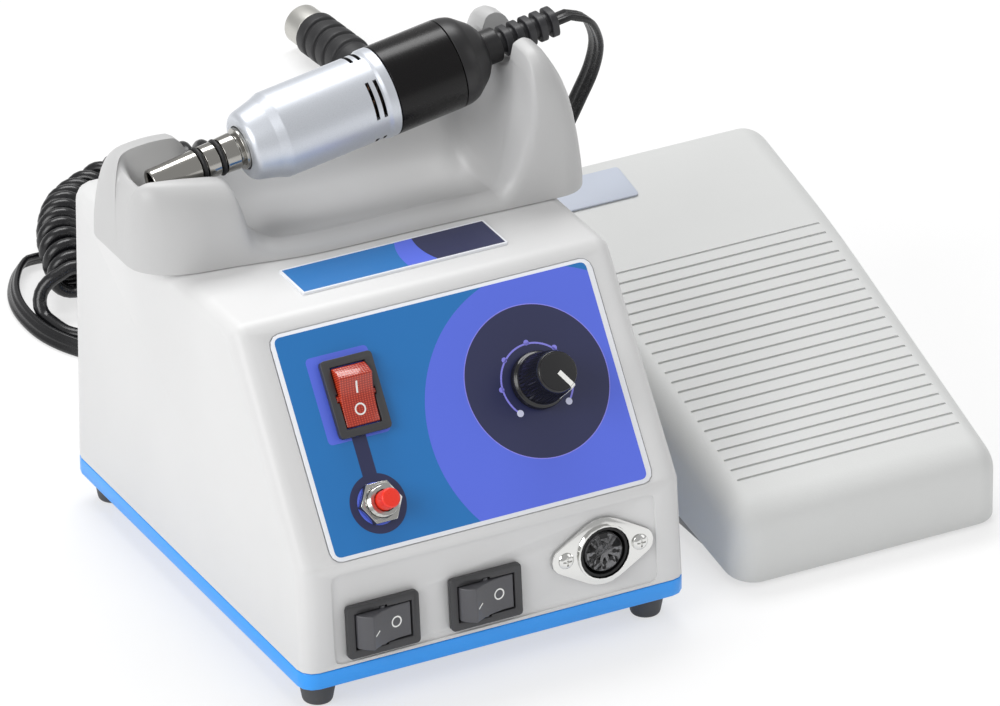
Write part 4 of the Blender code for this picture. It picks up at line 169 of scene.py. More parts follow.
def moulded_plastic(name, colour, roughness, grain=0.35, depth=0.012, tone=0.025, ior=1.53):
    """Plastic or rubber from a mould; grain and depth are in millimetres, tone is the clouds' contrast."""
    material, tree, shader, place = blank_material(name)
    slow = add(tree, "ShaderNodeTexNoise", {"Vector": place, "Scale": CLOUD_SCALE, "Detail": 2.0})
    two_tones(tree, shader, slow.outputs["Fac"], linear(colour, 1 - tone * 2), linear(colour, 1 + tone))
    fine = add(tree, "ShaderNodeTexNoise", {"Vector": place, "Scale": 1 / (grain * MM), "Detail": 3.0})
    bumped(tree, shader, fine.outputs["Fac"], GRAIN_STRENGTH, depth * GRAIN_REACH)
    varied_gloss(tree, shader, fine.outputs["Fac"], roughness, 0.04, 0.06)
    shader.inputs["IOR"].default_value = ior
    return material


def smooth_metal(name, colour, roughness, streak=0.0, around=None):
    """Plated or polished metal; streak adds the fine lines that turning or brushing leaves."""
    material, tree, shader, place = blank_material(name)
    shader.inputs["Metallic"].default_value = 1.0
    shader.inputs["Base Color"].default_value = linear(colour)
    mapping = add(tree, "ShaderNodeMapping", {"Vector": place})
    if around is not None:
        mapping.inputs["Rotation"].default_value = (0, around, 0)
        mapping.inputs["Scale"].default_value = (STREAK_SQUEEZE, 1, 1)
    lines = add(tree, "ShaderNodeTexNoise", {"Vector": mapping.outputs["Vector"], "Scale": STREAK_SCALE,
                                             "Detail": 3.0}).outputs["Fac"]
    varied_gloss(tree, shader, lines, roughness, 0.05, 0.07)
    bumped(tree, shader, lines, streak, STREAK_DEPTH)
    return material


HAND_TILT = math.radians(9.4)
CASE = moulded_plastic("moulded_abs_pale_grey", "DADADA", 0.42)
CRADLE = moulded_plastic("moulded_abs_warm_grey", "C0C0C0", 0.4)
TREAD = moulded_plastic("moulded_abs_light_grey", "D6D7D6", 0.5, grain=0.5, depth=0.02)
TRAY = moulded_plastic("moulded_abs_sky_blue", "2C9CF8", 0.32, tone=0.01)
SWITCH = moulded_plastic("moulded_nylon_black", "3A3A3C", 0.42, tone=0.05)
ROCKER = moulded_plastic("moulded_nylon_rocker", "525256", 0.38, tone=0.05)
KNOB = moulded_plastic("moulded_phenolic_black", "131315", 0.22, grain=0.5, depth=0.004, tone=0.05)
KNOB_TOP = moulded_plastic("satin_phenolic_black", "1B1B1D", 0.38, grain=0.4, depth=0.01, tone=0.05)
SLEEVE = moulded_plastic("polished_acetal_black", "070506", 0.25, grain=0.8, depth=0.0003, tone=0.1,
                         ior=1.38)
CAP = moulded_plastic("satin_acetal_black", "161517", 0.38, grain=0.5, depth=0.001, tone=0.08)
RUBBER = moulded_plastic("moulded_rubber_grey", "4A4A4B", 0.62, grain=0.4, depth=0.02, tone=0.08)
RING_RUBBER = moulded_plastic("moulded_rubber_black", "161617", 0.5, grain=0.4, depth=0.01, tone=0.08)
RELIEF = moulded_plastic("moulded_pvc_charcoal", "2A2A2D", 0.46, grain=0.4, depth=0.008, tone=0.08)
SHEATH = moulded_plastic("extruded_pvc_black", "111114", 0.27, grain=0.8, depth=0.004, tone=0.1)
GRIP = moulded_plastic("moulded_pvc_soft_black", "222224", 0.5, grain=0.4, depth=0.01, tone=0.08)
CORE_GREY = moulded_plastic("moulded_insulator_grey", "7C7C7E", 0.5)
# Near-black: the socket insert's own black plastic, and painted shade in the hollows behind the vents and in
# the socket's slots and key notch.
BLACK_AND_PAINTED_SHADE = moulded_plastic("black_insulator_and_painted_shade", "08080A", 0.6)
RED_BUTTON = moulded_plastic("moulded_abs_red", "F0331F", 0.28, tone=0.02)
WHITE_MARK = moulded_plastic("filled_paint_white", "F3F3F0", 0.45, tone=0.01)
FILM = moulded_plastic("printed_film_white", "EDEFF4", 0.34, grain=0.6, depth=0.002, tone=0.01)
PAPER = moulded_plastic("matt_card_pale_blue", "C3CAD8", 0.55, grain=0.5, depth=0.004, tone=0.02)
SHELL = smooth_metal("frosted_nickel_plate", "CFCEC9", 0.42, streak=0.1)
CHROME = smooth_metal("polished_chrome_plate", "E2E2E0", 0.08)
NICKEL = smooth_metal("bright_nickel_plate", "C9C8C4", 0.16, streak=0.05)
STEEL = smooth_metal("turned_steel_polished", "AFADA8", 0.15, streak=0.25, around=HAND_TILT)
print("plastics and metals:", len(bpy.data.materials))

# %% [markdown]
# The motor's barrel is aluminium with a pearl silver lacquer: not a mirror, but a soft metallic sheen
# with tiny flakes. A high metallic value with middling roughness and a thin clear coat gives both.

# %% Lacquered and cast finishes


def pearl_lacquer(name, colour, roughness, flake):
    """Flakes of the given size, in millimetres, under a thin clear coat."""
    material, tree, shader, place = blank_material(name)
    cells = add(tree, "ShaderNodeTexVoronoi", {"Vector": place, "Scale": 1 / (flake * MM)})
    flakes = cells.outputs["Distance"]
    two_tones(tree, shader, flakes, linear(colour), linear(colour, 0.9))
    for socket, value in (("Metallic", 0.72), ("Roughness", roughness), ("Coat Weight", 0.15),
                          ("Coat Roughness", 0.2)):
        shader.inputs[socket].default_value = value
    bumped(tree, shader, flakes, 0.04, 0.01)
    return material


LACQUER = pearl_lacquer("pearl_silver_lacquer", "DDE1E8", 0.42, 0.25)
PAN = pearl_lacquer("powder_coat_grey", "8E8F90", 0.55, 0.4)
INNER = {
    "transformer_core": smooth_metal("stacked_electrical_steel", "6E7075", 0.45, streak=0.3, around=0.0),
    "transformer_winding": smooth_metal("enamelled_copper_wire", "B97A35", 0.35, streak=0.4, around=0.0),
    "circuit_board": moulded_plastic("solder_mask_green", "2F7A3D", 0.35),
    "smoothing_capacitor": moulded_plastic("shrink_sleeve_navy", "24365E", 0.3),
    "heat_sink": smooth_metal("extruded_aluminium", "A9ABAE", 0.4, streak=0.2),
    "ring_magnet": moulded_plastic("sintered_ferrite", "4B4C50", 0.7),
    "brush_holder": moulded_plastic("moulded_phenolic_brown", "6B4A32", 0.5),
    "brush_upper": moulded_plastic("pressed_carbon", "2A2A2A", 0.75),
    "armature": smooth_metal("varnished_armature_steel", "8A6248", 0.4, streak=0.3, around=HAND_TILT),
    "commutator": smooth_metal("turned_copper", "C27A45", 0.22, streak=0.3, around=HAND_TILT),
    "pedal_resistor": moulded_plastic("moulded_resistor_case", "3A4A5C", 0.45),
    "pedal_slider": moulded_plastic("moulded_acetal_white", "D8D4C8", 0.4),
    "motor_socket_insert": BLACK_AND_PAINTED_SHADE,
}
INNER["brush_lower"] = INNER["brush_upper"]
for name in ("front_bearing", "rear_bearing", "rotor_shaft", "potentiometer_shaft", "potentiometer_nut",
             "speed_potentiometer", "pedal_pin", "pedal_jack", "breaker_body", "pedal_spring"):
    INNER[name] = NICKEL


def dress(name, material):
    """Give a solid of the frame its finish."""
    nodes[name].data.materials.clear()
    nodes[name].data.materials.append(material)


for name, material in INNER.items():
    dress(name, material)
print("inner pieces dressed:", len(INNER))

# %% [markdown]
# The floor and lights come next. A big soft lamp from the left, one from above and behind, a weak one
# from the right and a pale world give the even light of a catalogue picture. To the camera the floor is
# partly lit paper and partly plain white, so that the picture's ground stays white and the soft shadow
# under the feet still shows.

# %% Studio
FLOOR_REACH, FLOOR_DROP, WHITE_SHARE = 6.0, 0.0002, 0.62
WORLD_STRENGTH = 0.48


def studio_floor():
    mesh = bpy.data.meshes.new("studio_floor")
    corners = [(a * FLOOR_REACH, b * FLOOR_REACH, 0) for a, b in ((-1, -1), (1, -1), (1, 1), (-1, 1))]
    mesh.from_pydata(corners, [], [(0, 1, 2, 3)])
    floor = in_scene("studio_floor", mesh)
    floor.location.z = -FLOOR_DROP
    material = bpy.data.materials.new("white_paper_sweep")
    material.use_nodes = True
    tree = material.node_tree
    tree.nodes.clear()
    rays = add(tree, "ShaderNodeLightPath")
    seen = add(tree, "ShaderNodeMath", {0: rays.outputs["Is Camera Ray"], 1: rays.outputs["Is Glossy Ray"]},
               operation="MAXIMUM")
    share = add(tree, "ShaderNodeMath", {0: seen.outputs[0], 1: WHITE_SHARE}, operation="MULTIPLY")
    paper = add(tree, "ShaderNodeBsdfDiffuse", {"Color": linear("F4F4F4")})
    white = add(tree, "ShaderNodeEmission", {"Color": linear("FFFFFF"), "Strength": 1.0})
    mixed = add(tree, "ShaderNodeMixShader", {0: share.outputs[0], 1: paper.outputs[0], 2: white.outputs[0]})
    add(tree, "ShaderNodeOutputMaterial", {"Surface": mixed.outputs[0]})
    mesh.materials.append(material)


def soft_lamp(name, place, target, size, power):
    light = bpy.data.lights.new(name, "AREA")
    light.shape = "RECTANGLE"
    light.size, light.size_y = size
    light.energy = power
    lamp = in_scene(name, light)
    lamp.location = place
    lamp.rotation_mode = "QUATERNION"
    lamp.rotation_quaternion = (Vector(target) - Vector(place)).to_track_quat("-Z", "Y")


studio_floor()
soft_lamp("key_softbox", (-1.35, -0.45, 0.85), (0, 0, 0.05), (1.0, 0.8), 12.5)
soft_lamp("fill_softbox", (1.1, -0.8, 0.8), (0, 0, 0.05), (0.7, 0.9), 1.6)
soft_lamp("back_softbox", (0.1, 0.7, 1.4), (0, 0.05, 0.08), (1.2, 0.6), 15)
world = bpy.data.worlds.new("pale_studio")
bpy.context.scene.world = world
world.use_nodes = True
background = world.node_tree.nodes["Background"].inputs
background["Color"].default_value, background["Strength"].default_value = linear("FFFFFF"), WORLD_STRENGTH
bpy.context.scene.view_settings.view_transform = "Standard"

# %% [markdown]
# The finer pieces are drawn in millimetres, each in the axes that suit it: the handpiece along its own
# axis, the panel's pieces on the slope, the lower row on the steep front. One helper rounds the corners
# of a profile, one skins a body through rings of points, and one spins a profile into a turned body.

# %% Drawing helpers
SIDES = 128


def rounded(corners, closed=False, steps=4):
    """A path with its corners rounded; a corner is (a, b) or (a, b, rounding)."""
    path, last = [], len(corners) - 1
    for k, corner in enumerate(corners):
        here = Vector(corner[:2])
        if len(corner) == 2 or (not closed and k in (0, last)):
            path.append(here)
            continue
        before, after = (Vector(corners[(k + way) % len(corners)][:2]) - here for way in (-1, 1))
        start = here + before.normalized() * min(corner[2], before.length / 2)
        end = here + after.normalized() * min(corner[2], after.length / 2)
        shares = (step / steps for step in range(steps + 1))
        path += [start.lerp(here, t).lerp(here.lerp(end, t), t) for t in shares]
    return [tuple(point) for point in path]


def arc(radius, first=0.0, last=360.0, count=96, centre=(0, 0)):
    """Points along an arc, angles in degrees; a full turn leaves out the doubled end."""
    whole = abs(last - first) >= 360
    places = np.radians(np.linspace(first, last, count, endpoint=not whole))
    return [(centre[0] + radius * math.cos(a), centre[1] + radius * math.sin(a)) for a in places]


def oblong(width, height, corner, centre=(0, 0), steps=6):
    x, y = width / 2, height / 2
    return rounded([(centre[0] + a * x, centre[1] + b * y, corner)
                    for a, b in ((-1, -1), (1, -1), (1, 1), (-1, 1))], True, steps)


def mesh_of(bm, name):
    mesh = bpy.data.meshes.new(name)
    bm.to_mesh(mesh)
    bm.free()
    return mesh


def loft(rings, closed=False):
    """A closed mesh through rings of points; its ends are capped unless it joins up with itself."""
    bm = bmesh.new()
    rows = [[bm.verts.new(point) for point in ring] for ring in rings]
    count = len(rows[0])
    for low, high in zip(rows, rows[1:] + (rows[:1] if closed else [])):
        for k in range(count):
            after = (k + 1) % count
            bm.faces.new((low[k], low[after], high[after], high[k]))
    if not closed:
        bm.faces.new(rows[0])
        bm.faces.new(rows[-1])
    bmesh.ops.recalc_face_normals(bm, faces=bm.faces)
    return mesh_of(bm, "loft")


def prism(outline, low, high):
    return loft([[(x, y, z) for x, y in outline] for z in (low, high)])


def turned(profile, sides=SIDES):
    """Spin (radius, height) points about z; a profile that leaves the axis and comes back to it is solid."""
    solid = profile[0][0] == 0
    rings = [[(radius * math.cos(a), radius * math.sin(a), height)
              for a in (2 * math.pi * k / sides for k in range(sides))]
             for radius, height in profile if radius > 0]
    return loft(rings, closed=not solid)


def lathe(profile, sides=SIDES, closed=False, steps=4):
    """Spin a profile after rounding its corners."""
    return turned(rounded(profile, closed, steps), sides)


def stroke(path, width, low, high, closed=False, surface=lambda x, y: 0):
    """A thin bar that follows a path over a surface, as a painted or moulded line does."""
    rings, count = [], len(path)
    for k, (x, y) in enumerate(path):
        before, after = (path[(k - 1) % count], path[(k + 1) % count]) if closed else (
            path[max(k - 1, 0)], path[min(k + 1, count - 1)])
        side = Vector((before[1] - after[1], after[0] - before[0])).normalized() * width / 2
        rings.append([(x + a * side.x, y + a * side.y, surface(x + a * side.x, y + a * side.y) + b)
                      for a, b in ((-1, low), (1, low), (1, high), (-1, high))])
    return loft(rings, closed)


def merged(parts):
    """One mesh of several; each part is a mesh, or a mesh and its material slot."""
    bm = bmesh.new()
    for part in parts:
        mesh, slot = part if isinstance(part, tuple) else (part, 0)
        start = len(bm.faces)
        bm.from_mesh(mesh)
        bm.faces.ensure_lookup_table()
        for face in bm.faces[start:]:
            face.material_index = slot
    return mesh_of(bm, "merged")


def baked(mesh, kind, **settings):
    """The mesh after one modifier."""
    carrier = in_scene("carrier", mesh)
    modifier = carrier.modifiers.new("step", kind)
    for name, value in settings.items():
        if name.startswith("Socket_"):
            modifier[name] = value
        else:
            setattr(modifier, name, value)
    bpy.context.view_layer.update()
    graph = bpy.context.evaluated_depsgraph_get()
    result = bpy.data.meshes.new_from_object(carrier.evaluated_get(graph))
    bpy.data.objects.remove(carrier)
    return result


def eased(mesh, width, segments=3, angle=34):
    """A hair-fine round along every edge; it is what catches the light on a moulded edge."""
    return baked(mesh, "BEVEL", width=width, segments=segments, limit_method="ANGLE",
                 angle_limit=math.radians(angle))


def cut(mesh, tool):
    """The mesh with the tool's shape taken out of it."""
    cutter = in_scene("cutter", tool)
    result = baked(mesh, "BOOLEAN", operation="DIFFERENCE", solver="EXACT", object=cutter)
    bpy.data.objects.remove(cutter)
    return result


def show(name, mesh, matrix, materials, replaces=(), body="control_unit", sharp=40):
    """Set a finished mesh down as a piece of the set: placed, dressed, smoothed and tied to its body."""
    mesh.transform(matrix)
    mesh.name = name
    slots = [polygon.material_index for polygon in mesh.polygons]
    mesh.materials.clear()
    for material in materials:
        mesh.materials.append(material)
    mesh.polygons.foreach_set("material_index", slots)
    mesh.shade_smooth()
    mesh.set_sharp_from_angle(angle=math.radians(sharp))
    piece = in_scene(name, mesh)
    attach(piece, body)
    if replaces:
        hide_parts(*replaces)
    print(name, "faces:", len(mesh.polygons))
    return piece


def at(*place):
    return Matrix.Translation(place)


def face_axes(origin, slope):
    """Millimetre axes on a sloping face: x along the front, y up the slope, z straight out of it."""
    return (Matrix.Translation(UNIT + Vector(origin) * MM) @ Matrix.Rotation(slope, 4, "X")
            @ Matrix.Scale(MM, 4))


CASE_TOP = 95.6
SLOPE, STEEP = math.atan2(53.6, 39.1), math.atan2(29.0, 2.4)
PANEL = face_axes((0, 2.4, 42), SLOPE)
FRONT = face_axes((0, 0, 13), STEEP)
TABLE = Matrix.Translation(UNIT) @ Matrix.Scale(MM, 4)
HAND = (Matrix.Translation(UNIT + Vector((-55.7, 88.5, 116.7)) * MM) @ Matrix.Rotation(-HAND_TILT, 4, "Y")
        @ Matrix.Scale(MM, 4))
BARREL = HAND @ Matrix.Rotation(math.pi / 2, 4, "Y")
print("panel slope:", round(math.degrees(SLOPE), 2), "front slope:", round(math.degrees(STEEP), 2))

# %% [markdown]
# Much on this set repeats: the ribs of the cord's relief, the threads of the breaker, the flutes of the
# knob, the marks of the speed scale, the socket's slots, the vents. Two small geometry trees set out the
# copies, one in a row and one round a ring, so that a single element and a count describe each of them.

# %% Geometry trees for what repeats


def copies_tree(name, sizes):
    tree = bpy.data.node_groups.new(name, "GeometryNodeTree")
    for label, kind in [("Geometry", "Geometry"), ("Count", "Int"), *sizes, ("Finish", "Material")]:
        tree.interface.new_socket(label, in_out="INPUT", socket_type="NodeSocket" + kind)
    tree.interface.new_socket("Geometry", in_out="OUTPUT", socket_type="NodeSocketGeometry")
    return tree, add(tree, "NodeGroupInput").outputs


def end_tree(tree, given, points, element, turns=None):
    inputs = {"Points": points, "Instance": element}
    if turns:
        inputs["Rotation"] = turns
    placed = add(tree, "GeometryNodeInstanceOnPoints", inputs)
    real = add(tree, "GeometryNodeRealizeInstances", {"Geometry": placed.outputs["Instances"]})
    dressed = add(tree, "GeometryNodeSetMaterial", {"Geometry": real.outputs["Geometry"],
                                                    "Material": given["Finish"]})
    add(tree, "NodeGroupOutput", {"Geometry": dressed.outputs["Geometry"]})


ROW, given = copies_tree("row_of_copies", [("Step", "Vector")])
line = add(ROW, "GeometryNodeMeshLine", {"Count": given["Count"], "Offset": given["Step"]})
end_tree(ROW, given, line.outputs["Mesh"], given["Geometry"])

RING, given = copies_tree("ring_of_copies", [("Radius", "Float"), ("First", "Float"), ("Step", "Float")])
line = add(RING, "GeometryNodeMeshLine", {"Count": given["Count"], "Offset": (0, 0, 0)})
index = add(RING, "GeometryNodeInputIndex")
angle = add(RING, "ShaderNodeMath", {0: index.outputs[0], 1: given["Step"], 2: given["First"]},
            operation="MULTIPLY_ADD")
spin = add(RING, "ShaderNodeCombineXYZ", {"Z": angle.outputs[0]})
turns = add(RING, "FunctionNodeEulerToRotation", {"Euler": spin.outputs[0]})
outward = add(RING, "ShaderNodeCombineXYZ", {"X": given["Radius"]})
moved = add(RING, "GeometryNodeTransform", {"Geometry": given["Geometry"],
                                            "Translation": outward.outputs[0]})
end_tree(RING, given, line.outputs["Mesh"], moved.outputs["Geometry"], turns.outputs["Rotation"])


def repeated(tree, element, finish, **sizes):
    """Copies of an element set out by one of the two trees, as one plain mesh."""
    sockets = {item.name: item.identifier for item in tree.interface.items_tree if item.in_out == "INPUT"}
    values = {sockets[label]: value for label, value in sizes.items()}
    return baked(element, "NODES", node_group=tree, **values, **{sockets["Finish"]: finish})


print("trees:", [tree.name for tree in bpy.data.node_groups])

# %% [markdown]
# The motor lead is one cord from the handpiece to its plug. Near the handpiece it is a ribbon of three
# insulated cores side by side. It drops behind the cradle, lies on the table behind the unit in two
# loops, then winds into the curly stretch and runs to the plug. The route is a list of chosen points with
# a smooth curve through them, and the curls are a helix about their own curved axis.

# %% The route of the lead
CORD_DIAMETER = 4.0 * MM
REST = 2.05
HANGING_POINTS = (
    (73.5, 89.2, 134.6), (77.3, 91.7, 129.4), (79.9, 94.8, 122.6), (80.8, 99.5, 113.2),
    (79.2, 103.5, 103.5), (77.0, 108.0, 92.5), (73.2, 114.0, 78.0), (70.0, 121.0, 61.5),
    (68.3, 130.0, 43.0), (68.6, 140.0, 25.5), (71.0, 150.5, 11.8), (75.0, 161.5, 4.5))
FLOOR_POINTS = (
    (78.8, 174.0), (79.6, 192.0), (76.0, 212.5), (66.0, 232.0), (48.5, 246.5), (27.5, 255.5),
    (6.8, 259.4), (-10.0, 262.3), (-15.7, 259.6), (-21.2, 251.9), (-24.6, 244.3), (-26.5, 235.7),
    (-26.8, 226.0), (-25.6, 218.4), (-22.7, 210.9), (-17.2, 202.4), (-9.2, 194.9), (2.8, 189.9),
    (15.8, 188.9), (25.8, 192.4), (30.3, 199.9), (27.3, 207.9), (17.8, 211.9), (4.8, 211.9),
    (-7.2, 210.9), (-15.7, 213.2), (-20.0, 217.4), (-21.3, 221.4), (-21.7, 224.9))
LEAD_POINTS = HANGING_POINTS + tuple((x, y, REST) for x, y in FLOOR_POINTS)
CURL_LEAD_IN = ((-22.1, 228.4, REST), (-22.6, 231.1, 3.6), (-22.2, 232.8, 6.0), (-20.8, 233.6, 8.6),
                (-18.3, 233.3, 11.1))
CURL_AXIS = (
    (-11.8, 232.5, 8.8), (-10.3, 237.6, 9.5), (-9.0, 243.4, 10.8), (-7.0, 249.9, 11.6), (-4.2, 256.4, 11.7),
    (0.0, 263.7, 11.5), (5.1, 271.2, 10.0), (12.4, 278.3, 8.3), (21.9, 284.5, 7.3), (29.9, 287.5, 7.2),
    (39.7, 287.1, 7.2), (49.4, 284.4, 7.2), (59.7, 281.4, 7.2), (70.7, 279.1, 7.2), (82.7, 277.9, 7.2))
CURL_LEAD_OUT = ((89.0, 276.0, REST), (97.0, 275.0, REST), (108.0, 276.2, REST), (113.0, 278.8, REST),
                 (118.5, 283.8, REST), (120.8, 291.0, REST), (120.7, 299.0, 3.0))
CURL_RADIUS, CURL_PITCH, CURL_STRETCH = 5.0, 5.3, 2.6
CURL_START, CURL_END = math.radians(50), math.radians(-60)
STRETCH_MIDDLE, STRETCH_SPREAD = 0.5, 0.16
POINTS_A_TURN, POINTS_A_SPAN = 24, 24


def smooth_route(points, step):
    """A rounded curve through chosen points, read at about equal steps."""
    points = [np.array(p, dtype=float) for p in points]
    padded = [2 * points[0] - points[1]] + points + [2 * points[-1] - points[-2]]
    dense = []
    for a, b, c, d in zip(padded, padded[1:], padded[2:], padded[3:]):
        for t in np.linspace(0, 1, POINTS_A_SPAN, endpoint=False):
            dense.append(0.5 * (2 * b + (c - a) * t + (2 * a - 5 * b + 4 * c - d) * t ** 2
                                + (3 * b - a - 3 * c + d) * t ** 3))
    dense = np.array(dense + [points[-1]])
    lengths = np.concatenate([[0], np.cumsum(np.linalg.norm(np.diff(dense, axis=0), axis=1))])
    places = np.linspace(0, lengths[-1], max(2, round(lengths[-1] / step) + 1))
    return np.stack([np.interp(places, lengths, dense[:, k]) for k in range(dense.shape[1])], axis=1)


def curl_points():
    """A helix about the curved axis, let out a little over its middle; everything here is in millimetres."""
    axis = smooth_route(CURL_AXIS, 0.3)
    runs = np.concatenate([[0], np.cumsum(np.linalg.norm(np.diff(axis, axis=0), axis=1))])
    bump = np.exp(-((runs / runs[-1] - STRETCH_MIDDLE) / STRETCH_SPREAD) ** 2)
    turns = np.concatenate([[0], np.cumsum(np.diff(runs) / (CURL_PITCH + CURL_STRETCH * bump[1:]))])
    part = (CURL_START - CURL_END) / (2 * math.pi)
    whole = round(turns[-1] + part) - part
    turns *= whole / turns[-1]
    points = []
    for k in range(round(whole * POINTS_A_TURN) + 1):
        run = np.interp(k / POINTS_A_TURN, turns, runs)
        place, ahead, behind = (np.array([np.interp(np.clip(run + shift, 0, runs[-1]), runs, axis[:, i])
                                          for i in range(3)]) for shift in (0, 4, -4))
        along = Vector(ahead - behind).normalized()
        left = Vector((-along.y, along.x, 0)).normalized()
        up = along.cross(left)
        a = CURL_START + 2 * math.pi * k / POINTS_A_TURN
        points.append(tuple(Vector(place) + CURL_RADIUS * (left * math.cos(a) + up * math.sin(a))))
    return points


PLUG_TURN = math.radians(94)
plug_direction = Vector((math.cos(PLUG_TURN), math.sin(PLUG_TURN), 0))
plug_rear = Vector((118.3, 349.5, 7.1)) - plug_direction * 39
cord_end = plug_rear - plug_direction * 0.4


def hand_place(along):
    return tuple((HAND @ Vector((along, 0, 0)) - UNIT) / MM)


curls = curl_points()
exit_point = hand_place(121.3)
lead = smooth_route([hand_place(125.3), *LEAD_POINTS], 2.0)
lead_in = smooth_route([LEAD_POINTS[-1], *CURL_LEAD_IN, curls[0], curls[1]], 2.0)[1:-1]
before_end = tuple(cord_end - plug_direction * 4)
lead_out = smooth_route([curls[-2], curls[-1], *CURL_LEAD_OUT, before_end], 2.5)[1:]
route = np.vstack([[exit_point], lead, lead_in, curls[1:-1], lead_out, [tuple(cord_end)]])
route[:, 2] = np.maximum(route[:, 2], REST)

# %% [markdown]
# The sheath's section changes along the cord: three lobes side by side in the flat lead, one round sheath
# in the curls and the tail. A section is carried along the route without twisting, so the flat lead bends
# like a strap.

# %% Sweep the lead's section along its route
SECTION_POINTS = 36
CORE_SPREAD, CORE_RADIUS = 1.62, 0.93


def cord_section(flatness):
    """Points round the sheath: a circle when flatness is 0, a ribbon of three round cores when it is 1."""
    points = []
    for k in range(SECTION_POINTS):
        b = 2 * math.pi * k / SECTION_POINTS
        a = math.atan2(CORE_RADIUS * math.sin(b), (CORE_SPREAD + CORE_RADIUS) * math.cos(b))
        reach = CORE_RADIUS
        offset = CORE_SPREAD * abs(math.sin(a))
        if offset < CORE_RADIUS:
            reach = max(reach, CORE_SPREAD * abs(math.cos(a)) + math.sqrt(CORE_RADIUS ** 2 - offset ** 2))
        radius = CORD_DIAMETER / MM / 2
        points.append((radius * math.cos(b) * (1 - flatness) + reach * math.cos(a) * flatness,
                       radius * math.sin(b) * (1 - flatness) + reach * math.sin(a) * flatness))
    return points


def swept_cord(name, points, flatness_at, first_side):
    rings = []
    side = Vector(first_side)
    for k, point in enumerate(points):
        ahead = Vector(points[min(k + 1, len(points) - 1)]) - Vector(points[max(k - 1, 0)])
        ahead.normalize()
        side = (side - ahead * side.dot(ahead)).normalized()
        other = ahead.cross(side)
        rings.append([Vector(point) + side * x + other * y for x, y in cord_section(flatness_at(k))])
    mesh = loft(rings)
    mesh.transform(TABLE)
    mesh.shade_smooth()
    mesh.set_sharp_from_angle(angle=math.radians(60))
    mesh.materials.append(SHEATH)
    return in_scene(name, mesh)


# %% [markdown]
# The plug has a soft grip with four rounded ribs and a plated shell about five pins. Both are turned
# shapes on the line in which the lead ends.

# %% Plug
plug_axes = (TABLE @ Matrix.Translation(plug_rear) @ Matrix.Rotation(PLUG_TURN, 4, "Z")
             @ Matrix.Rotation(math.pi / 2, 4, "Y"))
PLUG_RIBS, FIRST_RIB, RIB_STEP, VALLEY, RIDGE, GRIP_END = 4, 10.9, 5.4, 5.9, 6.8, 31.7
COLLAR = [(0, 32.0), (6.0, 32.0, 0.2), (6.0, 39.0, 0.3), (5.3, 39.0, 0.2), (5.3, 35.0), (0, 35.0)]
PIN, PINS, PIN_CIRCLE = [(0, 34), (0.7, 34), (0.7, 37.8, 0.4), (0, 37.8)], 5, 3.3
grip = [(0, 0), (4.2, 0, 0.8), (5.4, 5.2, 2.0), (6.0, 10.0, 0.3)]
for start in (FIRST_RIB + rib * RIB_STEP for rib in range(PLUG_RIBS)):
    grip += [(VALLEY, start, 0.2), (RIDGE, start + 0.4, 0.5), (RIDGE, start + 4.0, 0.5),
             (VALLEY, start + 4.4, 0.2)]
grip += [(VALLEY, GRIP_END, 0.2), (0, GRIP_END)]
plug_grip = show("plug_grip_fine", lathe(grip, 96), plug_axes, [GRIP], ["plug_grip"])
pins = repeated(RING, lathe(PIN, 20), NICKEL, Count=PINS, Radius=PIN_CIRCLE,
                First=math.radians(-90), Step=math.pi / 4)
metal = merged([lathe(COLLAR, 96), pins])
plug_metal = show("plug_shell_fine", metal, plug_axes, [SHELL], ["plug_shell"])

# %% [markdown]
# The lead starts at the handpiece and lies still on the table at the other end; it is swept as one fixed
# cord.

# %% The lead as a cord
FADE_POINTS, flat_end = 14, len(lead) - 4
motor_lead = swept_cord("motor_lead", [tuple(p) for p in route],
                        lambda k: float(np.clip((flat_end - k) / FADE_POINTS, 0, 1)), (0, 1, 0))
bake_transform(motor_lead)
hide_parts("cord_lead", "cord_curls")
print("lead swept:", len(motor_lead.data.polygons), "faces")

# %% [markdown]
# The motor's nose is turned from steel and polished: an open bore at the tip, two grooves with rubber
# rings that hold the chuck sleeve, a neck and a collar. The pearl housing, the black sleeve and the end
# cap follow it on the same axis. Each is spun from its own profile with its edges rounded a little, as a
# lathe tool leaves them.

# %% Handpiece, turned pieces
NOSE = rounded([
    (3.1, 0.5, 0.3), (3.35, 0, 0.2), (4.0, 0, 0.45), (4.1, 4.2, 0.6), (4.45, 13.5, 0.2), (3.7, 13.5),
    (3.7, 15.3), (4.6, 15.3, 0.2), (4.7, 18.9, 0.2), (3.9, 18.9), (3.9, 20.7), (4.85, 20.7, 0.2),
    (5.1, 24.7, 0.35), (4.5, 24.9, 0.2), (4.5, 25.8), (5.8, 25.8, 0.3), (5.8, 28.5), (7.0, 28.5),
    (7.0, 37.8), (5.8, 37.8), (5.8, 33.0), (3.1, 33.0)], True)
show("nose_fine", turned(NOSE), BARREL, [STEEL], ["motor_nose"], "handpiece", 50)
for name, place, radius in (("nose_ring_front", 14.4, 4.6), ("nose_ring_rear", 19.8, 4.8)):
    section = [(radius - 0.3 + b, place + a) for a, b in arc(0.6, count=14)]
    show(name + "_fine", turned(section), BARREL, [RING_RUBBER], [name], "handpiece", 60)

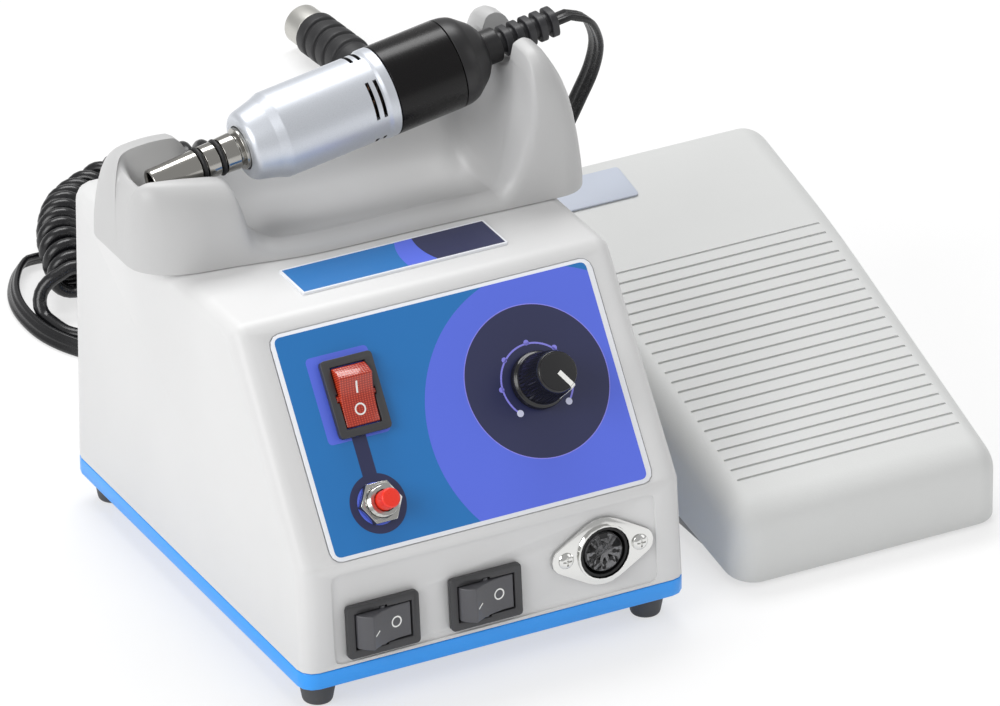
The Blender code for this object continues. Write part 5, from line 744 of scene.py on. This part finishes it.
VENT_FLOOR, VENT_TOP, VENT_HALF_ARC = 10.0, 13.0, 26
VENT_START, VENT_WIDTH, VENT_STEP, VENT_TURN = 61.4, 1.0, 2.3, math.radians(246.7)
BORE_RADIUS, BORE_START = 10.9, 37
HOUSING = rounded([
    (6.1, 26.8, 0.2), (8.3, 26.8, 0.8), (9.4, 27.8, 0.8), (10.9, 33.7, 0.15), (11.9, 36.4, 0.25),
    (11.9, 65.1, 0.2), (12.4, 66.1, 0.2), (12.4, 68.5, 0.2), (10.6, 68.5), (10.6, 37.8), (7.3, 37.8),
    (7.3, 28.2), (6.1, 28.2)], True)
slot = prism(arc(VENT_TOP, -VENT_HALF_ARC, VENT_HALF_ARC, 24)
             + arc(VENT_FLOOR, VENT_HALF_ARC, -VENT_HALF_ARC, 24), VENT_START, VENT_START + VENT_WIDTH)
pair = repeated(ROW, slot, BLACK_AND_PAINTED_SHADE, Count=2, Step=(0, 0, VENT_STEP))
vents = repeated(RING, pair, BLACK_AND_PAINTED_SHADE, Count=4, Radius=0.0, First=VENT_TURN, Step=math.pi / 2)
housing = cut(turned(HOUSING, 160), vents)
# Faces inside the bore, seen through the vents, get the near-black finish: painted shade for the hollow
# inside the housing.
for face in housing.polygons:
    x, y, z = face.center
    face.material_index = int(math.hypot(x, y) < BORE_RADIUS and z > BORE_START)
show("housing_fine", housing, BARREL, [LACQUER, BLACK_AND_PAINTED_SHADE], ["motor_housing"], "handpiece", 14)

REAR_SLEEVE = rounded([
    (10.6, 68.8), (12.4, 68.8, 0.15), (12.4, 88.2, 0.1), (10.6, 88.2), (10.6, 84.1), (2.6, 84.1),
    (2.6, 83.1), (5.8, 83.1), (5.8, 78.5), (10.6, 78.5)], True)
REAR_CAP = rounded([
    (9.0, 88.5), (12.38, 88.5, 0.15), (12.2, 91.0, 1.0), (11.6, 93.0, 0.7), (8.3, 97.3, 0.9),
    (6.2, 98.9, 0.5), (4.8, 99.0, 0.4), (4.8, 103.6, 0.5), (3.1, 103.6), (3.1, 93.8), (9.0, 93.8)], True)
for name, profile, material in (("rear_sleeve", REAR_SLEEVE, SLEEVE), ("rear_cap", REAR_CAP, CAP)):
    show(name + "_fine", turned(profile), BARREL, [material], [name], "handpiece", 34)

# %% [markdown]
# The strain relief is a soft moulding with five squarish ribs on a thin stem. The gaps between the ribs
# let it bend. One rib is drawn, and the row tree sets out the five.

# %% Strain relief
RIBS, RIB_LENGTH, RIB_PITCH, RIB_START = 5, 2.05, 3.42, 105.27
RIB_RADIUS, RIB_CORE = 3.8, 2.6
STEM = [(0, 96), (2.7, 96), (2.7, 103.9), (2.9, 103.9), (2.9, 120.9), (0, 120.9)]


def squarish(radius, height, power=3.2, count=64):
    ring = []
    for k in range(count):
        a = 2 * math.pi * (k + 0.5) / count
        reach = radius * (abs(math.cos(a)) ** power + abs(math.sin(a)) ** power) ** (-1 / power)
        ring.append((reach * math.cos(a), reach * math.sin(a), height))
    return ring


RIB = [(RIB_CORE, 0), (RIB_RADIUS, 0, 0.3), (RIB_RADIUS, RIB_LENGTH, 0.3), (RIB_CORE, RIB_LENGTH)]
rib = loft([squarish(radius, height) for radius, height in rounded(RIB)])
ribs = repeated(ROW, rib, RELIEF, Count=RIBS, Step=(0, 0, RIB_PITCH))
ribs.transform(at(0, 0, RIB_START))
relief = merged([ribs, lathe(STEM, 64)])
show("cord_relief_fine", relief, BARREL, [RELIEF], ["cord_relief"], "handpiece")

# %% [markdown]
# The cradle is one sculpted moulding: a blunt horn at the left that carries the nose, a long dip for the
# fingers and a tall horn at the right that carries the end cap. Its cross-section changes all the way
# along, so it is lofted through many sections. Heights, reaches and roundness follow tables of shares
# along its length.

# %% Cradle
LENGTH, WIDTH, HORN, CRADLE_BASE = 128.7, 44.0, 42.0, 95.9
FRONT_CREST = ((0, 0.07), (0.004, 0.34), (0.012, 0.47), (0.026, 0.545), (0.05, 0.57), (0.08, 0.568),
               (0.15, 0.545), (0.196, 0.52), (0.209, 0.49), (0.223, 0.38), (0.2315, 0.27), (0.2424, 0.2),
               (0.2696, 0.13), (0.308, 0.1), (0.46, 0.086), (0.623, 0.1), (0.732, 0.09), (0.783, 0.095),
               (0.81, 0.18), (0.826, 0.286), (0.841, 0.43), (0.857, 0.64), (0.866, 0.857), (0.875, 0.964),
               (0.895, 0.988), (0.914, 0.964), (0.931, 0.893), (0.961, 0.714), (0.977, 0.5), (0.988, 0.286),
               (1, 0.07))
BACK_CREST = ((0, 0.07), (0.003, 0.38), (0.01, 0.53), (0.0256, 0.62), (0.0606, 0.66), (0.107, 0.67),
              (0.151, 0.66), (0.169, 0.62), (0.186, 0.53), (0.211, 0.43), (0.258, 0.333), (0.336, 0.286),
              (0.491, 0.286), (0.646, 0.298), (0.779, 0.333), (0.826, 0.476), (0.849, 0.667), (0.865, 0.881),
              (0.879, 0.988), (0.895, 1), (0.914, 0.976), (0.93, 0.905), (0.961, 0.738), (0.977, 0.524),
              (0.988, 0.31), (1, 0.07))
GROOVE_FLOOR = ((0, 0.06), (0.008, 0.4), (0.018, 0.51), (0.03, 0.53), (0.038, 0.5), (0.046, 0.4),
                (0.053, 0.372), (0.12, 0.4), (0.196, 0.43), (0.211, 0.31), (0.2315, 0.18), (0.258, 0.09),
                (0.297, 0.052), (0.399, 0.05), (0.732, 0.052), (0.783, 0.075), (0.81, 0.14), (0.826, 0.24),
                (0.841, 0.4), (0.853, 0.6), (0.863, 0.755), (0.877, 0.772), (0.93, 0.792), (1, 0.06))
FRONT_REACH = ((0, 0.3), (0.04, 0.36), (0.2, 0.38), (0.258, 0.62), (0.297, 0.74), (0.78, 0.74), (0.838, 0.5),
               (0.868, 0.31), (1, 0.3))
BACK_REACH = ((0, 0.24), (0.04, 0.4), (0.2, 0.42), (0.258, 0.66), (0.297, 0.76), (0.78, 0.76), (0.838, 0.54),
              (0.868, 0.42), (1, 0.38))
LOWEST_LINE = ((0, 0), (0.195, 0), (0.297, -0.42), (0.732, -0.42), (0.828, 0), (1, 0))
ROUNDNESS = ((0, 0.5), (0.195, 0.5), (0.297, 1), (0.78, 1), (0.858, 0.5), (1, 0.5))
FULLNESS = ((0, 2.4), (0.204, 2.7), (0.302, 2.2), (0.789, 2.2), (0.858, 4), (1, 3))
FRONT_WIDTH = ((0, 0.66), (0.118, 0.69), (0.39, 0.905), (0.67, 0.94), (0.887, 0.99), (1, 1))
CRADLE_STEPS, CRADLE_LEFT, CRADLE_MIDDLE, UNDER_CREST = 12, -64.4, 88.5, 0.97
FRONT_CORNERS, BACK_CORNERS = (18, 9), (6, 7)


def read_table(table, share):
    """A table of shares read between its points on a curve without overshoot."""
    xs, ys = zip(*table)
    slopes = [(b - a) / (d - c) for a, b, c, d in zip(ys, ys[1:], xs, xs[1:])]
    bends = [slopes[0]] + [0 if a * b <= 0 else 2 * a * b / (a + b) for a, b in zip(slopes, slopes[1:])]
    bends.append(slopes[-1])
    k = min(max(0, int(np.searchsorted(xs, share)) - 1), len(xs) - 2)
    h = xs[k + 1] - xs[k]
    t = (share - xs[k]) / h
    return ((1 + 2 * t) * (1 - t) ** 2 * ys[k] + t * (1 - t) ** 2 * h * bends[k]
            + t ** 2 * (3 - 2 * t) * ys[k + 1] + t ** 2 * (t - 1) * h * bends[k + 1])


def half_width(share, corners):
    near, corner = min((share * LENGTH, corners[0]), ((1 - share) * LENGTH, corners[1]))
    run = max(0, corner - near)
    return WIDTH / 2 - corner + math.sqrt(max(0, corner ** 2 - run ** 2))


def cradle_ring(share):
    half_front = half_width(share, FRONT_CORNERS) * read_table(FRONT_WIDTH, share)
    half_back = half_width(share, BACK_CORNERS)
    front, back = read_table(FRONT_CREST, share) * HORN, read_table(BACK_CREST, share) * HORN
    floor = min(read_table(GROOVE_FLOOR, share) * HORN, UNDER_CREST * front, UNDER_CREST * back)
    lowest = read_table(LOWEST_LINE, share) * half_front
    roundness, power = read_table(ROUNDNESS, share), 2 / read_table(FULLNESS, share)
    quarter = [math.pi / 2 * k / CRADLE_STEPS for k in range(CRADLE_STEPS)]

    def one_side(sign, half, reach, crest):
        outer = [(sign * (reach + (half - reach) * math.cos(a) ** power), crest * math.sin(a) ** power)
                 for a in quarter]
        inner = [(lowest + (sign * reach - lowest) * math.cos(a),
                  floor + (crest - floor) * (1 - math.sin(a) ** (2 * roundness))) for a in quarter]
        return outer + inner

    ring = (one_side(-1, half_front, read_table(FRONT_REACH, share) * half_front, front) + [(lowest, floor)]
            + one_side(1, half_back, read_table(BACK_REACH, share) * half_back, back)[::-1])
    return [(CRADLE_LEFT + share * LENGTH, CRADLE_MIDDLE + y, CRADLE_BASE + z) for y, z in ring]


stations = sorted({share for share, _ in FRONT_CREST} | {k / 150 for k in range(151)})
cradle_mesh = loft([cradle_ring(share) for share in stations])
SEAT = [(0, -0.4), (4.4, -0.4), (5.2, 24.7), (9.6, 26.8), (12.8, 36.4), (12.8, 93.3), (5.2, 97.5), (5.2, 121),
        (0, 121)]
seat = lathe(SEAT, 96)
seat.transform(TABLE.inverted() @ BARREL)
show("cradle_fine", cut(cradle_mesh, seat), TABLE, [CRADLE], ["handpiece_cradle"], sharp=50)

# %% [markdown]
# Many solids already have the right shape, but they arrive as loose flat triangles. A copy of each is
# merged, its flat faces are joined up again, its edges get a hair-fine bevel, and its round sides are
# shaded smooth.

# %% Refined copies of the solids


def refine(name, material, bevel=0.12, angle=34, body="control_unit", flatten=1.0):
    bm = bmesh.new()
    bm.from_mesh(nodes[name].data)
    bmesh.ops.remove_doubles(bm, verts=bm.verts, dist=0.002 * MM)
    if flatten:
        bmesh.ops.dissolve_limit(bm, angle_limit=math.radians(flatten), verts=bm.verts, edges=bm.edges)
    mesh = mesh_of(bm, name)
    if bevel:
        mesh = eased(mesh, bevel * MM, 2, angle)
    return show(name + "_fine", mesh, Matrix.Identity(4), [material], [name], body, angle)


REFINED = {
    "case_shell": (CASE, 0.25), "base_tray": (TRAY, 0.25), "power_switch_body": (SWITCH, 0.3),
    "mode_switch_body": (SWITCH, 0.3), "direction_switch_body": (SWITCH, 0.3), "breaker_nut": (NICKEL, 0.25),
    "mains_gland": (RELIEF, 0.2), "fuse_holder": (SWITCH, 0.2), "pedal_base": (PAN, 0.2),
    "motor_socket_flange": (CHROME, 0.3), "control_panel_film": (FILM, 0.05),
}
for name, (material, bevel) in REFINED.items():
    refine(name, material, bevel)
refine("pedal_label", PAPER, 0.1, body="foot_tread")

# %% [markdown]
# The control panel is a screen-printed polyester film. Its inks lie one over another: a blue field, a
# violet disc that runs off the edge, a navy dial, a violet patch behind the power switch and a navy
# keyhole about the overload button. Each ink is a plate 0.02 mm thick above the last. The words are left
# out.

# %% Printed panel
FILM_TOP, LAYER = 0.3, 0.02


def printed_ink(name, colour, tone=0.01):
    return moulded_plastic("printed_ink_" + name, colour, 0.34, grain=0.6, depth=0.003, tone=tone)


BLUE, VIOLET, NAVY, LILAC, PALE = (printed_ink(*ink) for ink in (
    ("blue", "1B74BC"), ("violet", "5A70E6"), ("navy", "2A2E54", 0.02), ("lilac", "8F8CF0"),
    ("pale_lilac", "D9DCF4")))


def clipped(outline, window):
    """The part of an outline inside a convex window drawn anticlockwise."""
    for (ax, ay), (bx, by) in zip(window, window[1:] + window[:1]):
        def inside(p):
            return (bx - ax) * (p[1] - ay) - (by - ay) * (p[0] - ax)
        kept = []
        for p, q in zip(outline, outline[1:] + outline[:1]):
            here, there = inside(p), inside(q)
            if here >= 0:
                kept.append(p)
            if here * there < 0:
                t = here / (here - there)
                kept.append((p[0] + t * (q[0] - p[0]), p[1] + t * (q[1] - p[1])))
        outline = kept
    return outline


def printed(name, matrix, base, layers):
    """Inks on a face: each layer is its level, its material and an outline or a ready bar."""
    inks, parts = [], []
    for level, ink, drawn in layers:
        if ink not in inks:
            inks.append(ink)
        mesh = prism(drawn, base, base + level * LAYER) if isinstance(drawn, list) else drawn
        parts.append((mesh, inks.index(ink)))
    return show(name, merged(parts), matrix, inks)


def bar(path, width, level, closed=False):
    return stroke(path, width, FILM_TOP, FILM_TOP + level * LAYER, closed)


DIAL, NECK = (23.53, 33.9), (-29.7, 13.2)
NECK_HOLE, DIAL_RADIUS, SCALE_RADIUS, DOT_REACH = 3.7, 20.5, 10.2, 7.21
field = oblong(91.8, 59.6, 2, (0.5, 31.7))
bump = prism(arc(0.75, count=20), FILM_TOP, FILM_TOP + 5 * LAYER)
bumps = repeated(RING, bump, LILAC, Count=5, Radius=10.5, First=0.0, Step=math.pi / 4)
bumps.transform(at(*DIAL, 0))
neck_hole = prism(arc(NECK_HOLE, count=64, centre=NECK), FILM_TOP - 1, FILM_TOP + 1)


def holed(outline, level):
    """An ink plate with the hole that the breaker's neck passes through."""
    return cut(prism(outline, FILM_TOP, FILM_TOP + level * LAYER), neck_hole)


dots = [(6, PALE, arc(0.95, count=32, centre=(DIAL[0] + way * DOT_REACH, DIAL[1] - DOT_REACH)))
        for way in (-1, 1)]
printed("panel_artwork", PANEL, FILM_TOP, [
    (1, BLUE, holed(field, 1)),
    (2, VIOLET, clipped(arc(38.7, count=180, centre=(28.1, 24.8)), field)),
    (3, LILAC, arc(20.75, count=128, centre=DIAL)), (4, NAVY, arc(DIAL_RADIUS, count=128, centre=DIAL)),
    (5, LILAC, bar(arc(SCALE_RADIUS, -45, 225, 90, DIAL), 0.5, 5)), (5, LILAC, bumps),
    *dots,
    (2, VIOLET, oblong(18.1, 23.5, 1.5, (-29.45, 42.55))),
    (3, NAVY, [(-31.8, 20), (-27.7, 20), (-27.7, 31.5), (-31.8, 31.5)]),
    (4, NAVY, holed(arc(8.0, count=96, centre=NECK), 4)),
    (5, VIOLET, holed(arc(5.7, count=64, centre=(-29.9, 13.2)), 5))])

# %% [markdown]
# The power switch has a red lens with a lamp behind it. Its face is ribbed in fine dotted lines that
# scatter the lamp's light. The two lower rockers are the same moulding in black. All three curve in along
# their length, with one end standing proud, and carry the usual marks for on and off.

# %% Rockers
LENS_RIBS = (("X", 420.0), ("Y", 560.0))


def dotted_lens(name, dark, bright):
    material, tree, shader, place = blank_material(name)
    sloped = add(tree, "ShaderNodeMapping", {"Vector": place, "Rotation": (-SLOPE, 0, 0)}).outputs[0]
    across, along = (add(tree, "ShaderNodeTexWave", {"Vector": sloped, "Scale": scale}, bands_direction=way)
                     for way, scale in LENS_RIBS)
    dots = add(tree, "ShaderNodeMath", {0: across.outputs["Fac"], 1: along.outputs["Fac"]},
               operation="MULTIPLY").outputs[0]
    two_tones(tree, shader, dots, linear(dark), linear(bright))
    bumped(tree, shader, dots, 0.5, 0.08)
    shader.inputs["Roughness"].default_value = 0.22
    shader.inputs["Coat Weight"].default_value = 0.5
    return material


LENS = dotted_lens("ribbed_lens_red", "9A2413", "DE5233")
REACH, HALF_ACROSS, CREST_Y, CREST_Z, LOW_Y, LOW_Z = 8.0, 4.8, 4.6, 4.35, -7.95, 0.8


def rocker_curve(t):
    """The hollow top of a rocker, from its low end at 0 to its proud end at 1."""
    a, b, c = (1 - t) ** 2, 2 * t * (1 - t), t ** 2
    return a * LOW_Y - b * 0.8 + c * CREST_Y, a * LOW_Z + b * 0.5 + c * CREST_Z


CURVE = [rocker_curve(t / 20) for t in range(21)]


def rocker_height(x, y):
    return float(np.interp(y, [p[0] for p in CURVE], [p[1] for p in CURVE]))


def rocker(name, matrix, material, body, marks):
    side = CURVE + [(6.4, 3.0)] + arc(REACH, 9, -14.6, 6) + arc(REACH, 216.6, 178, 8)
    block = eased(loft([[(x, y, z) for y, z in side] for x in (-HALF_ACROSS, HALF_ACROSS)]), 0.3, 3)
    pin = loft([[(x, y, z) for y, z in arc(0.9, count=24)] for x in (-5.6, 5.6)])
    show(name + "_fine", merged([block, pin]), matrix, [material], [name], body, 30)
    strokes = [stroke(path, width, -0.15, 0.04, closed, rocker_height) for path, width, closed in marks]
    show(name + "_marks", merged(strokes), matrix, [WHITE_MARK], (), body)


MARKS = [(arc(1.4, count=40, centre=(0, -3.9)), 0.42, True),
         ([(0, 0.3 + y / 2) for y in range(7)], 0.5, False)]
LOWER_MARKS = [(arc(1.4, count=40, centre=(0.2, -3.6)), 0.4, True),
               ([(-0.2 - k * 0.12, 2.2 + k * 0.2) for k in range(9)], 0.4, False)]
rocker("power_rocker", PANEL @ at(-28.0, 42.0, 1.4), LENS, "power_toggle", MARKS)
for name, x, t, body in (("mode_rocker", -33.7, 9.65, "mode_toggle"),
                         ("direction_rocker", -3.5, 9.78, "direction_toggle")):
    across = FRONT @ at(x, t, 0.5) @ Matrix.Rotation(math.pi / 2, 4, "Z")
    rocker(name, across, ROCKER, body, LOWER_MARKS)

# %% [markdown]
# The overload breaker is a threaded plated neck held by a hex nut, with a red button that pops out of it.
# The threads are rings set out in a row, close enough to a screw for the eye at this size.

# %% Breaker
BREAKER = PANEL @ at(*NECK, FILM_TOP)
THREADS, THREAD_PITCH = 9, 0.5
thread = lathe([(3.75, 0), (4.12, 0.25, 0.1), (3.75, 0.5), (3.6, 0.25)], 64, True)
threads = repeated(ROW, thread, NICKEL, Count=THREADS, Step=(0, 0, THREAD_PITCH))
show("breaker_threads", threads, BREAKER @ at(0, 0, 0.4), [NICKEL])
BUTTON = [(0, 1), (2.7, 1), (2.7, 9.6, 0.8), (0, 9.6)]
button = lathe(BUTTON, 64, steps=8)
show("breaker_button_fine", button, BREAKER, [RED_BUTTON], ["breaker_button"], "reset_button")

# %% [markdown]
# The speed knob is moulded in glossy black phenolic. A low skirt turns just above the panel, the cap
# tapers a little and has fine flutes for the fingers, and its flat satin top carries a white pointer that
# runs over the rim and down the side.

# %% Speed knob
KNOB_BASE = FILM_TOP + 0.5
KNOB_AXES = PANEL @ at(*DIAL, KNOB_BASE)
POINTER = math.radians(-57)
KNOB_PROFILE = [
    (6.6, 0), (7.8, 0, 0.3), (7.8, 2.2, 0.6), (7.0, 2.7, 0.5), (6.75, 3.2, 0.4), (5.75, 13.4, 0.3),
    (5.3, 14.2, 0.25), (0.0001, 14.2), (0.0001, 10.4), (3.3, 10.4), (3.3, 2.4), (6.6, 2.4)]
KNOB_DISC = [(0, 13.9), (5.0, 13.9), (5.0, 14.24, 0.1), (0, 14.24)]
FLUTES, FLUTE_CIRCLE, POINTER_WIDTH = 40, 5.8, 1.35
shell, top = lathe(KNOB_PROFILE, closed=True), lathe(KNOB_DISC)
flute = loft([[(r - 0.5, -0.16, z), (r, -0.2, z), (r + 0.17, 0, z), (r, 0.2, z), (r - 0.5, 0.16, z)]
              for r, z in ((0.93, 3.4), (0, 13.0))])
flutes = repeated(RING, flute, KNOB, Count=FLUTES, Radius=FLUTE_CIRCLE, First=0.0,
                  Step=math.radians(360 / FLUTES))
pointer = stroke([(0.3 + k * 0.5, 0) for k in range(11)], POINTER_WIDTH, 14.1, 14.32)
side = loft([[(r + a, b, z) for a, b in ((-0.4, -0.67), (0.1, -0.67), (0.1, 0.67), (-0.4, 0.67))]
             for r, z in ((7.0, 3.0), (5.95, 13.5), (5.5, 14.32))])
arrow = merged([pointer, side])
arrow.transform(Matrix.Rotation(POINTER, 4, "Z"))
show("speed_knob_fine", merged([(shell, 0), (flutes, 0), (top, 1), (arrow, 2)]), KNOB_AXES,
     [KNOB, KNOB_TOP, WHITE_MARK], ["speed_knob"], "speed_dial", 34)

# %% [markdown]
# The motor socket is a five-pin round connector. Inside its chrome flange a black ring surrounds a grey
# core with a key notch at the top and five keyhole slots in the lower half. Two cross-head screws hold
# the flange.

# %% Motor socket
SOCKET = FRONT @ at(31.6, 13.9, 0)
CORE_TOP, SLOT_CIRCLE = 1.3, 3.0
CORE = [(0, CORE_TOP - 1.5), (5.4, CORE_TOP - 1.5), (5.4, CORE_TOP, 0.2), (0, CORE_TOP)]
core = lathe(CORE, 96)
SLIT = [(-0.1, -0.26), (1.6, -0.2), (1.6, 0.2), (-0.1, 0.26)]
# The slots and the key notch are thin near-black plates on the core: painted shade standing in for the holes.
slit = merged([prism(arc(0.62, count=24), CORE_TOP - 0.3, CORE_TOP + 0.04),
               prism(SLIT, CORE_TOP - 0.3, CORE_TOP + 0.05)])
slots = repeated(RING, slit, BLACK_AND_PAINTED_SHADE, Count=PINS, Radius=SLOT_CIRCLE, First=math.radians(186),
                 Step=math.radians(42))
notch = prism([(-1.15, 3.9), (1.15, 3.9), (1.15, 5.5), (-1.15, 5.5)], CORE_TOP - 0.3, CORE_TOP + 0.05)
show("socket_core", merged([(core, 0), (slots, 1), (notch, 1)]), SOCKET, [CORE_GREY, BLACK_AND_PAINTED_SHADE])
PLATE_TOP, SCREW_GAP = 0.6, 22
SCREW_HEAD = [(0, 0), (2.25, 0), (2.25, 0.35, 0.3), (1.3, 1.05, 0.8), (0, 1.1)]
head = lathe(SCREW_HEAD, 48)
for x, y in ((1.3, 0.24), (0.24, 1.3)):
    head = cut(head, prism([(-x, -y), (x, -y), (x, y), (-x, y)], 0.45, 2))
heads = repeated(ROW, head, CHROME, Count=2, Step=(SCREW_GAP, 0, 0))
show("socket_screws", heads, SOCKET @ at(-SCREW_GAP / 2, 0, PLATE_TOP), [CHROME], sharp=30)

# %% [markdown]
# The name strip on the case's top is the same printed film: a blue field, a violet one and a navy one
# with round boundaries. The name itself is left out.

# %% Name strip
STRIP = Matrix.Translation(UNIT + Vector((-0.5, 57.1, CASE_TOP)) * MM) @ Matrix.Scale(MM, 4)
strip_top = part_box("name_strip_film")[1].z / MM - CASE_TOP
show("name_strip_fine", prism(oblong(60.4, 14.4, 0.6), 0.02, strip_top), STRIP, [FILM], ["name_strip_film"])
window = [(-29.6, -6.6), (29.6, -6.6), (29.6, 6.6), (-29.6, 6.6)]
printed("name_strip_artwork", STRIP, strip_top, [
    (1, BLUE, window), (2, VIOLET, clipped(arc(26, count=180, centre=(27.0, -4.5)), window)),
    (3, NAVY, clipped(arc(21.0, count=180, centre=(29.0, 1.5)), window))])

# %% [markdown]
# The rubber feet are turned shapes too: cones that widen upwards, with a soft lower edge.

# %% Feet
FOOT = rounded([(0, 0.0), (3.7, 0, 0.8), (4.1, 0.6, 0.8), (5.4, 8.0, 0.3), (0, 8.0)], steps=5)
for name in ("foot_front_left", "foot_front_right", "foot_back_left", "foot_back_right"):
    low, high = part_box(name)
    middle = Matrix.Translation(((low.x + high.x) / 2, (low.y + high.y) / 2, 0)) @ Matrix.Scale(MM, 4)
    show(name + "_fine", turned(FOOT, 64), middle, [RUBBER], [name])

# %% [markdown]
# The pedal is one large thin moulding with generous rounds on every upper edge, sloping up to a knee and
# then lying flatter. It is lofted from side to side through one rounded wedge that is drawn in towards
# both sides. A smaller copy hollows it, and its tread is one groove repeated in a row. The spring under
# it flattens as the pedal is pressed; here it keeps the shape of its solid, in a mesh of its own.

# %% Pedal
PEDAL_SIDES, PEDAL_MIDDLE, PEDAL_ROUND, KNEE_ROUND = (75.8, 156.8), 116.3, 7.5, 16
PEDAL_WALL, FIRST_GROOVE, LAST_GROOVE, GROOVES = 2.5, 19.5, 97.2, 22
LUG_GAP, LUG_WIDTH, BOSS_PLACES, SPRING_GIVE = 36.4, 5, (110, 85), 14.3 * MM
GROOVE_LENGTH, GROOVE_WIDTH, GROOVE_DEPTH = 68, 0.75, 0.65
WEDGE = ((6.6, 0.9), (145.0, 23.2), (145.0, 60.6), (99.6, 51.2), (6.6, 21.5))


def pedal_body(shrink):
    """The wedge with its upper edges rounded; shrink draws it in all round for the hollow inside."""
    (front, base), (back, back_base), (_, back_top), (knee, knee_top), (_, front_top) = WEDGE
    edge, slope, lowered = PEDAL_ROUND - shrink, (back_base - base) / (back - front), shrink * 1.5
    turns = [math.pi / 2 * k / 10 for k in range(11)]
    stations = [(edge * (1 - math.cos(a)), edge * (1 - math.sin(a))) for a in turns]
    rings = []
    for side, way in ((PEDAL_SIDES[0] + shrink, 1), (PEDAL_SIDES[1] - shrink, -1)):
        for across, drop in stations[::way]:
            gap, corner = shrink + drop, max(edge - drop, 0.05)
            path = rounded([
                (front + gap, base - lowered + gap * slope), (front + gap, front_top - gap, corner),
                (knee, knee_top - gap, KNEE_ROUND), (back - gap, back_top - gap, corner),
                (back - gap, back_base - lowered - gap * slope)], steps=8)
            rings.append([(side + way * across, y, z) for y, z in path])
    return loft(rings)


rise = (WEDGE[3][1] - WEDGE[4][1]) / (WEDGE[3][0] - WEDGE[4][0])
groove_step = (LAST_GROOVE - FIRST_GROOVE) / (GROOVES - 1)
groove = prism(oblong(GROOVE_LENGTH, GROOVE_WIDTH, 0.2), -GROOVE_DEPTH, 1.5)
groove_at = (PEDAL_MIDDLE, FIRST_GROOVE, WEDGE[4][1] + rise * (FIRST_GROOVE - WEDGE[4][0]))
groove.transform(Matrix.Translation(groove_at) @ Matrix.Rotation(math.atan(rise), 4, "X"))
grooves = repeated(ROW, groove, TREAD, Count=GROOVES, Step=(0, groove_step, groove_step * rise))
shell = cut(cut(pedal_body(0), pedal_body(PEDAL_WALL)), grooves)
lug = loft([[(x, y, z) for y, z in [(13.4, 23.0), *arc(4.6, 180, 360, 16, (18, 9)), (22.6, 23.0)]]
            for x in (0, LUG_WIDTH)])
lugs = repeated(ROW, lug, TREAD, Count=2, Step=(LUG_GAP, 0, 0))
lugs.transform(at(PEDAL_MIDDLE - (LUG_GAP + LUG_WIDTH) / 2, 0, 0))
bosses = [turned([(0, low), (radius, low), (radius, high), (0, high)], 32)
          for radius, low, high in ((7.8, 30.3, 49.5), (4.5, 31.0, 43.5))]
for boss, y in zip(bosses, BOSS_PLACES):
    boss.transform(at(PEDAL_MIDDLE, y, 0))
show("pedal_tread_fine", merged([shell, lugs, *bosses]), TABLE, [TREAD], ["pedal_tread"], "foot_tread", 30)
low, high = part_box("pedal_spring")
spring = refine("pedal_spring", NICKEL, 0, 60, flatten=0)
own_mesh(spring)
